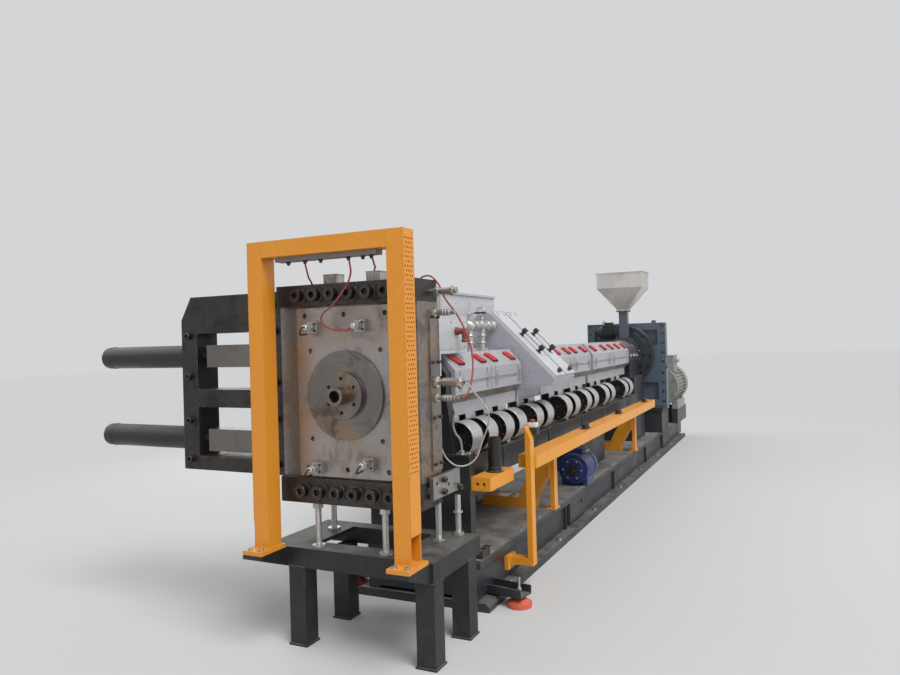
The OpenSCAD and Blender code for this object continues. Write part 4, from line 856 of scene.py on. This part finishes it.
for k in (0, 1):
    left = np.array([tower_lo[0] + 0.015, tower_lo[1] + 0.025 + 0.490 * k, 0.0])
    right = np.array([tower_hi[0] - 0.010, left[1], 0.0])
    tower_doors += [block(left + [-0.004, 0, 0.400], left + [0.001, 0.480, 1.800], 0.0015),
                    block(left + [-0.012, 0.080, 0.520], left + [-0.003, 0.400, 0.534], 0.002,
                          [(0, 0, 0.035 * i) for i in range(9)]),
                    block(right + [-0.001, 0, 1.520], right + [0.004, 0.480, 1.840], 0.0015)]
    hinge_places = left + spots(-0.006, 0.492 * k - 0.006, (0.50, 1.05, 1.62))
    tower_metal += [turned(tower_hinge, hinge_places, sides=16),
                    pan_heads(0.011, right + spots(0.004, (0.02, 0.24, 0.46), (1.540, 1.820)), to_right)]
    handle = left + [0, 0.430 - 0.380 * k, 0]
    tower_black.append(block(handle + [-0.034, 0, 1.020], handle + [-0.004, 0.020, 1.150], 0.005))
made_piece("tower_doors", tower_doors, casing_paint)
made_piece("tower_hinges", tower_metal, zinc_screws)
made_piece("tower_handles", tower_black, black_plastic)


# Feed section, throat, hopper and feeder
# Painted castings round the feed end of the screw, a square sheet throat and a brushed stainless
# hopper bolted on top of it, with a small geared motor beside the throat.
dark_casting = painted("dark casting paint", (0.045, 0.050, 0.060), rough=0.5, under=(0.12, 0.11, 0.10),
                       wear=0.5, dust=0.4, peel=0.8, scale=4.0)
throat_paint = painted("blue-grey throat paint", (0.085, 0.105, 0.135), rough=0.42, wear=0.5, dust=0.3)
hopper_steel = bare_steel("brushed stainless sheet", (0.80, 0.77, 0.735), rough=0.36, grain=(1, 1, 12),
                          stained=0.2, dust=0.15)
finish_node(dark_casting, "feed_section")
finish_node(throat_paint, "feed_throat")
finish_node(hopper_steel, "hopper")
finish_node(black_paint, "feeder_drive")
throat = np.array([0.045, corners("hopper")[:, 1].mean(), 0.0])
throat_top = corners("feed_throat")[1][2]
throat_screws = throat + spots(both(0.072), both(0.083), screw_z + 0.215)
made_piece("feed_screws", [socket_heads(0.020, circle_of(12, 0.170, 5.880), to_front),
                           socket_heads(0.016, throat_screws)], dark_screws)
nipple = screwed_joint(0.020, 0.018, 0.012, 0.030, 0.016, 0.044, (0.009, 0.046), (0.009, 0.060))
nipples = turned(nipple, spots(0.188, (5.98, 6.17), screw_z), to_right)
made_piece("water_nipples", [nipples], bright_zinc)
neck = [throat + [0.063 * a, 0.063 * b, throat_top - 0.012] for a in (-1, 0, 1) for b in (-1, 0, 1) if a or b]
made_piece("hopper_neck_screws", [hex_heads(0.008, neck, down)], zinc_screws)
neck_half, rim_x, rim_y, rim_z = 0.057, 0.280, 0.200, throat_top + 0.280
seams = [weld_line(throat + [neck_half * a, neck_half * b, throat_top + 0.004],
                   throat + [rim_x * a, rim_y * b, rim_z], 0.0028) for a, b in product((-1, 1), (-1, 1))]
end_x, end_y = rim_x - 0.001, rim_y - 0.001
for y in both(rim_y + 0.0005):
    seams.append(weld_line(throat + [-end_x, y, rim_z], throat + [end_x, y, rim_z], 0.0022))
for x in both(rim_x + 0.0005):
    seams.append(weld_line(throat + [x, -end_y, rim_z], throat + [x, end_y, rim_z], 0.0022))
made_piece("hopper_seams", seams, hopper_steel)


def ribs_round(at, way, inner, outer, length, count, thick=0.0015, start=0.0):
    """Cooling ribs: thin bars from the inner to the outer radius, spread evenly round the axis `way`."""
    u, v, w = set_across(way)
    a = start + np.arange(count)[:, None] * 2 * np.pi / count
    out = np.cos(a) * u + np.sin(a) * v
    side = np.cross(w, out)
    section = ((inner, -1), (outer, -1), (outer, 1), (inner, 1))
    ring = np.stack([r * out + s * thick * side for r, s in section], axis=1)
    return machine_zero + np.array(at) + np.stack([ring, ring + length * w], axis=1)


drive = throat + [-0.050, 0.0, screw_z + 0.290]
drive_ring = [(0.080, 0), (0.080, 0.010), (0.076, 0.012)]
made_piece("feeder_parts", [ribs_round(drive + [-0.215, 0, 0], to_right, 0.072, 0.083, 0.170, 28),
                            block(drive + [-0.194, -0.049, 0.115], drive + [-0.086, 0.049, 0.124]),
                            turned(drive_ring, drive + [-0.044, 0, 0], to_right, 36)],
           black_paint)
made_piece("feeder_screws", [pan_heads(0.009, drive + spots((-0.185, -0.095), both(0.04), 0.124)),
                             socket_heads(0.010, drive + spots(-0.030, both(0.042), both(0.046)), to_left)],
           zinc_screws)


# Gearbox, coupling guard and main motor
# Cast housing in slate-blue enamel behind a dark bearing flange; the motor behind it has cast fins and
# stands on a welded box.
slate = painted("slate-blue enamel", (0.095, 0.125, 0.165), rough=0.36, under=(0.20, 0.19, 0.18), wear=0.45,
                dust=0.4, peel=0.6, scale=3.0)
flange_paint = painted("dark flange paint", (0.028, 0.034, 0.045), rough=0.42, wear=0.5, dust=0.3, peel=0.6)
motor_grey = painted("stone-grey motor enamel", (0.27, 0.275, 0.25), rough=0.42, wear=0.45, dust=0.45,
                     peel=0.6)
finish_node(flange_paint, "gearbox_flange")
finish_node(slate, "gearbox", "coupling_guard")
finish_node(motor_grey, "main_motor")
gear_y = corners("gearbox")[0][1]
disc_y = gear_y - 0.170
made_piece("bearing_flange_screws", [socket_heads(0.024, circle_of(16, 0.340, disc_y + 0.040), to_front),
                                     socket_heads(0.020, circle_of(12, 0.262, disc_y + 0.015), to_front),
                                     hex_heads(0.016, circle_of(12, 0.200, disc_y, start=0.2), to_front)],
           dark_screws)
edge_screws = spots(both(0.465), gear_y + 0.008, (0.70, 0.82, 0.94, 1.06, 1.20, 1.32, 1.44, 1.56, 1.66))
split_screws = spots(both(0.441), gear_y + np.array([0.19, 0.315, 0.44, 0.52]), screw_z - 0.140)
gear_top = 1.668
lid_top = gear_top + 0.016
lid_screws = [*spots((-0.17, 0.0, 0.17), (gear_y + 0.19, gear_y + 0.50), lid_top),
              *spots(both(0.185), gear_y + 0.345, lid_top)]
made_piece("gearbox_screws", [hex_heads(0.018, edge_screws, to_front), hex_heads(0.016, split_screws),
                              hex_heads(0.010, lid_screws)], dark_screws)
gear_middle = gear_y + 0.35
lifting_eye = np.array([-0.36, gear_middle, gear_top])
breather = [(0.020, 0), (0.020, 0.012), (0.030, 0.016), (0.030, 0.055), (0.024, 0.062)]
gear_parts = [block((-0.205, gear_y + 0.165, gear_top), (0.205, gear_y + 0.525, lid_top), 0.005),
              turned(breather, (0.30, gear_middle, gear_top)),
              turned([(0.026, 0), (0.026, 0.012), (0.017, 0.014)], lifting_eye)]
made_piece("gearbox_covers", gear_parts, slate)
gear_side = 0.425
oil_glass = [*nut(0.024, 0, 0.010), (0.019, 0.012), (0.019, 0.016), (0.015, 0.016), (0.015, 0.012)]
drain_plug = [*nut(0.018, 0, 0.014), (0.014, 0.016)]
made_piece("gearbox_fittings", [hoop(lifting_eye + [0, 0, 0.038], 0.028, 0.008),
                                turned(oil_glass, spots(gear_side, gear_middle, (0.84, 1.02)), to_right),
                                turned(drain_plug, (gear_side, gear_y + 0.45, 0.66), to_right)],
           bright_zinc)
motor_y, motor_end = corners("main_motor")[:, 1]
motor = np.array([0.200, motor_y, 0.800])
guard_rib = [(0.149, 0), (0.156, 0.002), (0.156, 0.020), (0.149, 0.022)]
rib_places = spots(motor[0], (gear_y + 0.575, motor_y - 0.236, motor_y - 0.030), motor[2])
made_piece("guard_ribs", [turned(guard_rib, rib_places, to_back, 48)], slate)
box_top = 0.432
end_screws = circle_of(8, 0.262, motor_y, motor[0], motor[2], np.pi / 8)
made_piece("motor_screws", [socket_heads(0.018, end_screws, to_front),
                            pan_heads(0.012, motor + spots(both(0.17), (0.32, 0.60), box_top)),
                            hex_heads(0.020, motor + spots(both(0.232), (0.18, 0.68), -0.200))],
           zinc_screws)
eye_foot = [(0.030, 0), (0.030, 0.012), (0.014, 0.018), (0.014, 0.040)]
motor_gland = screwed_joint(0.022, 0.012, 0.017, 0.026, 0.022, 0.040, (0.015, 0.044))
made_piece("motor_fittings", [hoop(motor + [0, 0.12, 0.328], 0.036, 0.009),
                              turned(eye_foot, motor + [0, 0.12, 0.252]),
                              turned(motor_gland, motor + spots(0.190, (0.39, 0.53), 0.350), to_right)],
           bright_zinc)
box_lid = block(motor + [-0.194, 0.296, box_top - 0.0135], motor + [0.194, 0.624, box_top], 0.005)
made_piece("motor_box_lid", [box_lid], motor_grey)
grille_wire = 0.0028
grille_at = np.array([motor[0], motor_end + 0.003, motor[2]])
grille = [hoop(grille_at, radius, grille_wire, 56) for radius in (0.05, 0.085, 0.12, 0.155, 0.19, 0.225)]
for angle in np.radians([30, 90, 150, 210, 270, 330]):
    out = np.array([np.cos(angle), 0, np.sin(angle)])
    grille.append(turned([(grille_wire, 0), (grille_wire, 0.185)], grille_at + 0.045 * out, out, 6))
made_piece("motor_fan_grille", grille, dark_screws)


# Die table and screen changer block
# A welded table carries the heated steel block on jack screws. The block is clamped between two bars by
# six big screws each, and its polished face plate carries the outlet flange.
table_paint = painted("table paint", (0.010, 0.0105, 0.012), rough=0.50, under=(0.15, 0.14, 0.135), wear=0.8,
                      dust=0.36)
finish_node(table_paint, "die_table")
table_front, table_side, leg_top, frame_top = 0.1375, 0.4905, 0.405, 0.502
leg_w, beam_w = 0.1, 0.119
leg_welds = [weld_line([x, table_front, leg_top], [x + leg_w, table_front, leg_top], 0.005)
             for x in (-0.350, 0.390)]
leg_welds += [weld_line([table_side, y, leg_top], [table_side, y + leg_w, leg_top], 0.005)
              for y in (0.138, 0.527)]
leg_welds += [weld_line([x, table_front, frame_top], [x + beam_w, table_front, frame_top])
              for x in (-0.474, 0.355)]
made_piece("table_welds", leg_welds, table_paint)
block_steel = bare_steel("block steel", (0.30, 0.275, 0.255), rough=0.42, stained=0.75, heat=0.6)
plate_steel = bare_steel("stained face plate steel", (0.41, 0.385, 0.372), rough=0.36, grain=(10, 1, 1),
                         stain=(0.17, 0.135, 0.115), stained=0.65, heat=0.35)
flange_steel = bare_steel("turned flange steel", (0.235, 0.215, 0.205), rough=0.28,
                          stain=(0.060, 0.048, 0.042), stained=0.75, heat=0.6,
                          spun=(machine_zero[0], 0.0, screw_z))
clamp_steel = bare_steel("oily clamp bar steel", (0.085, 0.076, 0.071), rough=0.4,
                         stain=(0.020, 0.017, 0.015), stained=0.85, wear=0.5)
sensor_steel = bare_steel("sensor housings", (0.50, 0.49, 0.47), rough=0.34, stained=0.45)
bar_steel = bare_steel("carrier bar steel", (0.40, 0.385, 0.37), rough=0.42, stained=0.5)
jack_steel = threaded("jack screw steel", (0.56, 0.56, 0.54), 0.004)
finish_node(block_steel, "changer_block")
finish_node(plate_steel, "face_plate")
finish_node(flange_steel, "melt_flange")
finish_node(clamp_steel, "clamp_bars")
finish_node(sensor_steel, "block_sensors")
finish_node(bar_steel, "support_bars")
finish_node(jack_steel, "jack_screws")
plate_front = corners("face_plate")[0][1]
bars_bottom, bars_top = corners("clamp_bars")[:, 2]
clamp_x, clamp_heights = (np.arange(6) - 2.5) * 0.105, (bars_bottom + 0.065, bars_top - 0.055)
clamp_places = spots(clamp_x, plate_front - 0.010, clamp_heights)
clamp_washers = turned([(0.042, 0), (0.042, 0.004), (0.040, 0.005)], clamp_places, to_front, 36)
made_piece("clamp_washers", [clamp_washers], clamp_steel)
block_side = corners("changer_block")[1][0]
side_places = spots(block_side, (plate_front + 0.148, plate_front + 0.212), (0.935, 1.165, 1.440, 1.665))
side_heads = socket_heads(0.012, side_places, to_right)
carrier_end = corners("support_bars")[1][0]
carrier_places = [(carrier_end, y, z) for y, z in ((0.365, 0.795), (0.365, 0.855), (0.545, 0.785))]
made_piece("block_screws", [side_heads, mirrored(side_heads), socket_heads(0.020, carrier_places, to_right)],
           dark_screws)
sensor_places = np.array([(-0.176, plate_front, 1.630), (0.110, plate_front, 1.630),
                          (-0.168, plate_front, 0.915), (0.138, plate_front, 0.949)])
bracket_screws = [place + [0.019, -0.030, dz] for place in sensor_places for dz in both(0.018)]
gland = screwed_joint(0.017, 0.013, 0.012, 0.020, 0.015, 0.032, (0.0085, 0.037))
side_y, nut_x = 0.345, block_side + 0.002
thin_z, thick_z, upper_z = (1.684, 1.262), 1.340, 1.790
upper_nut = [*nut(0.020, 0, 0.016), (0.0165, 0.018)]
thin_nut = [*nut(0.019, 0, 0.014), (0.0155, 0.016)]
thick_nut = [*nut(0.027, 0, 0.018), (0.023, 0.020)]
grip_ring = [(0.0155, 0), (0.0165, 0.002), (0.0165, 0.009), (0.0155, 0.011)]
sensor_parts = [turned(gland, sensor_places + [-0.008, -0.046, 0], to_front),
                turned(upper_nut, spots((0.437, 0.520), side_y, upper_z), to_right),
                turned(thin_nut, spots(nut_x, side_y, thin_z), to_right),
                turned(thick_nut, spots((nut_x, 0.548), side_y, thick_z), to_right),
                turned(grip_ring, spots((0.470, 0.486, 0.502), side_y, thin_z), to_right)]
made_piece("sensor_glands", sensor_parts, bright_zinc)
made_piece("sensor_screws", [socket_heads(0.008, bracket_screws, to_front)], dark_screws)
tail = smooth_route([(-0.008, -0.080, 0), (-0.008, -0.096, -0.001), (-0.012, -0.104, -0.012),
                     (-0.022, -0.100, -0.030), (-0.030, -0.080, -0.036), (-0.031, -0.029, -0.034)], 30)
tails = [round_along(machine_zero + place + tail, 0.0042, 10) for place in sensor_places[[0, 2, 3]]]
made_piece("sensor_tails", tails, black_plastic)
terminal_boxes = spots((-0.130, 0.126), plate_front + 0.020, corners("block_sensors")[1][2])
rib_shifts = [(0.0128 * i, 0, 0) for i in range(6)]
ribs = [block(at + [0.006, -0.004, -0.039], at + [0.010, 0.001, -0.007], 0.001, rib_shifts)
        for at in terminal_boxes]
lids = [block(at + [-0.002, -0.002, -0.0005], at + [0.082, 0.072, 0.004], 0.0015) for at in terminal_boxes]
made_piece("terminal_box_lids", ribs + lids, bar_steel)
box_screws = [pan_heads(0.007, at + spots((0.006, 0.074), (0.006, 0.064), 0.004)) for at in terminal_boxes]
made_piece("terminal_box_screws", box_screws, zinc_screws)


# Yoke, slide bars and cylinders
# Flame-cut steel frame screwed to the left of the block, black with oil. Two ground bars slide in it,
# pushed by two painted hydraulic cylinders with rounded ends, a weld ring and two ports each.
yoke_steel = bare_steel("oily yoke steel", (0.075, 0.070, 0.066), rough=0.42, stain=(0.018, 0.016, 0.014),
                        stained=0.8, wear=0.5)
slide_steel = bare_steel("ground slide bar", (0.22, 0.20, 0.185), rough=0.3, grain=(14, 1, 1), stained=0.6)
cylinder_black = painted("black cylinder paint", (0.010, 0.0105, 0.012), rough=0.3, wear=0.4, dust=0.10)
finish_node(yoke_steel, "yoke")
finish_node(slide_steel, "slide_bars")
yoke_left, yoke_front, _ = corners("yoke")[0]
yoke_y = corners("yoke")[:, 1].mean()
slide_heights = (screw_z - 0.274, screw_z + 0.200)
yoke_screws = [*spots(-0.476, yoke_front, (0.905, 1.150, 1.345, 1.620, 1.760)),
               *spots(yoke_left + 0.058, yoke_front, (0.910, 1.130, 1.380, 1.610))]
made_piece("yoke_screws", [socket_heads(0.026, yoke_screws, to_front)], clamp_steel)
bend = np.linspace(0, np.pi / 2, 7)
tube_flange = [(0.078, 0), (0.078, 0.026), (0.074, 0.030), (0.070, 0.030), (0.066, 0.036)]
weld_ring = [(0.066, 0.636), (0.068, 0.638), (0.068, 0.643), (0.066, 0.645)]
rounded_end = [*zip(0.048 + 0.018 * np.cos(bend), 0.682 + 0.018 * np.sin(bend)), (0.018, 0.700),
               (0.016, 0.697)]
tube_places = spots(yoke_left, yoke_y, slide_heights)
tube_shape = turned(tube_flange + weld_ring + rounded_end, tube_places, to_left, 56)
tubes = made_piece("cylinder_tubes", [tube_shape], cylinder_black)
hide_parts("changer_cylinders")
port = screwed_joint(0.017, 0.014, 0.011, 0.026, 0.014, 0.040)
port_places = spots((yoke_left - 0.075, yoke_left - 0.600), yoke_y + 0.063, slide_heights)
made_piece("cylinder_ports", [turned(port, port_places, to_back, 12)], bright_zinc)


# Guard portal
# Folded steel sheet in bright orange powder coat, bolted to the table, with perforated cover plates on
# the open sides of the posts and a grey cable strip under the cross beam.
orange = painted("orange powder coat", (0.74, 0.285, 0.022), rough=0.36, under=(0.30, 0.13, 0.05), wear=0.35,
                 dust=0.12, peel=0.2, mottle=0.35)
strip_grey = painted("grey strip paint", (0.22, 0.205, 0.19), rough=0.5, dust=0.3)
finish_node(orange, "portal_frame", "perforated_covers")
finish_node(strip_grey, "cable_strip")
feet = [(side * x, -0.036, 0.525) for side in (-1, 1) for x in (0.381, 0.448)]
made_piece("portal_foot_screws", [hex_heads(0.014, feet)], zinc_screws)
cover_x = corners("perforated_covers")[1][0]
cover_screws = pan_heads(0.008, spots(cover_x, (0.008, 0.092), (0.672, 0.800, 0.925, 2.052)), to_right)
made_piece("cover_plate_screws", [cover_screws, mirrored(cover_screws)], zinc_screws)
post_in, beam_z, foot_z = 0.363, 1.983, 0.5265
seams = [weld_line([post_in, 0.0005, beam_z + 0.002], [post_in, 0.0005, beam_z + 0.080], 0.0022),
         weld_line([post_in - 0.0005, 0.003, beam_z], [post_in - 0.0005, 0.097, beam_z], 0.0035),
         weld_line([post_in + 0.001, -0.001, foot_z], [post_in + 0.086, -0.001, foot_z]),
         weld_line([post_in - 0.001, 0.001, foot_z], [post_in - 0.001, 0.099, foot_z])]
made_piece("portal_welds", seams + [mirrored(g) for g in seams], orange)
strip_z = corners("cable_strip")[0][2]
strip_exits = [(x, y, strip_z) for x, y in ((-0.130, 0.050), (0.125, 0.050), (0.253, 0.050), (-0.235, 0.055),
                                            (-0.040, 0.055), (0.200, 0.060))]
strip_gland = [*nut(0.011, 0, 0.007), (0.0085, 0.009), (0.0085, 0.014), (0.0055, 0.018)]
made_piece("strip_glands", [turned(strip_gland, strip_exits, down, 12)], black_plastic)
strip_screws = spots((-0.27, -0.09, 0.09, 0.26), 0.078, strip_z)
made_piece("strip_screws", [pan_heads(0.009, strip_screws, down)], zinc_screws)


# Side rail, posts, stub beam and pump motor
# Rectangular steel tube in the portal's orange, welded and scuffed, on posts bolted to the deck. A switch
# stands on the front post, a black tube on the stub beam, and a small blue motor behind the rail.
rail_orange = painted("scuffed orange paint", (0.78, 0.315, 0.020), rough=0.38, under=(0.20, 0.12, 0.07),
                      wear=0.6, dust=0.07, peel=0.25, mottle=0.6)
black_tube = painted("black tube", (0.010, 0.010, 0.011), rough=0.46, wear=0.1, dust=0.06)
blue = painted("blue motor enamel", (0.013, 0.036, 0.155), rough=0.34, wear=0.4, dust=0.35)
finish_node(rail_orange, "side_rail", "rail_posts", "stub_beam")
finish_node(black_tube, "cable_tube")
finish_node(blue, "pump_motor")
rail_lo, rail_hi = corners("side_rail")
rail_x, rail_top = (rail_lo[0] + rail_hi[0]) / 2, rail_hi[2]
clips, clip_screws = [], []
for y, dy in product((2.80, 3.95, 5.18), both(0.034)):
    clip = np.array([rail_x, y + dy, rail_top])
    clips += [block(clip - [0.030, 0.021, 0.0005], clip + [0.030, 0.021, 0.009], 0.003),
              block(clip + [-0.018, -0.014, 0.008], clip + [0.018, 0.014, 0.040], 0.005)]
    clip_screws += [clip + [dx, 0, 0.009] for dx in both(0.024)]
made_piece("rail_clips", clips, black_plastic)
made_piece("rail_clip_screws", [pan_heads(0.008, clip_screws)], zinc_screws)
post_y = (2.280, 5.133)
foot_screws = [hex_heads(0.010, spots((0.352, 0.402), (y - 0.042, y + 0.047), 0.295)) for y in post_y]
foot_screws += [hex_heads(0.012, spots((-0.130, 0.060), (y - 0.035, y + 0.035), 0.362)) for y in post_y]
made_piece("post_foot_screws", foot_screws, zinc_screws)
post_front = corners("rail_posts")[0][1] + 0.030
post_back = post_front + 0.067
foot_x = 0.386
joints = [weld_line([x, post_back, 0.733], [x, post_back, 0.811], 0.003) for x in (0.5045, 0.5405)]
joints += [weld_line([foot_x, y, 0.138], [foot_x, y, 0.184]) for y in (post_front - 0.001, post_back + 0.001)]
joints += [weld_line([foot_x, post_front, z], [foot_x, post_back, z]) for z in (0.1365, 0.1855)]
made_piece("rail_welds", joints, rail_orange)
switch = np.array([0.527, post_front + 0.096, 0.990])
made_piece("switch_base", [block(switch + [-0.033, -0.028, -0.052], switch + [0.033, 0.028, -0.004], 0.006),
                           block(switch + [-0.021, -0.036, -0.075], switch + [0.019, -0.022, -0.012], 0.003)],
           black_plastic)
made_piece("switch_cap", [block(switch + [-0.031, -0.026, -0.006], switch + [0.031, 0.026, 0.024], 0.010)],
           white_enamel)
red_plastic = painted("red push button", (0.50, 0.030, 0.022), rough=0.3, wear=0.0, dust=0.1, scale=9.0)
button = [(0.010, 0), (0.010, 0.008), (0.015, 0.010), (0.015, 0.016), (0.011, 0.020)]
made_piece("switch_button", [turned(button, switch + [0, 0, 0.023])], red_plastic)
tube_foot = np.array([0.399, 1.137, corners("stub_beam")[1][2]])
collar = [(0.052, 0), (0.052, 0.008), (0.042, 0.009), (0.042, 0.030), (0.0385, 0.032)]
made_piece("tube_collar", [turned(collar, tube_foot, sides=36)], black_plastic)
collar_screws = tube_foot + [(-0.046, 0, 0.008), (0.046, 0, 0.008), (0, -0.046, 0.008), (0, 0.046, 0.008)]
made_piece("stub_beam_screws", [pan_heads(0.010, collar_screws)], zinc_screws)
pump = np.array([0.295, 3.100, 0.425])
pump_box_top, foot_shift = 0.1655, 0.178
made_piece("pump_parts", [ribs_round(pump + [0, 0.004, 0], to_back, 0.123, 0.133, 0.250, 36),
                          block(pump + [-0.065, 0.085, 0.157], pump + [0.065, 0.215, pump_box_top], 0.004),
                          block(pump + [-0.112, 0.036, -0.141], pump + [-0.066, 0.244, -0.128], 0.003,
                                [(0, 0, 0), (foot_shift, 0, 0)])], blue)
pump_gland = screwed_joint(0.014, 0.010, 0.010, 0.020, 0.013, 0.030, (0.008, 0.034))
made_piece("pump_screws", [hex_heads(0.008, pump + circle_of(6, 0.078, -0.030, 0, 0), to_front),
                           pan_heads(0.008, pump + spots(both(0.052), (0.098, 0.202), pump_box_top)),
                           turned(pump_gland, pump + spots(0.060, (0.12, 0.18), 0.140), to_right)],
           zinc_screws)
shaft_end = [(0.050, 0), (0.050, 0.006), (0.020, 0.008), (0.020, 0.022)]
made_piece("pump_shaft_end", [turned(shaft_end, pump + [0, -0.030, 0], to_front)], dark_screws)
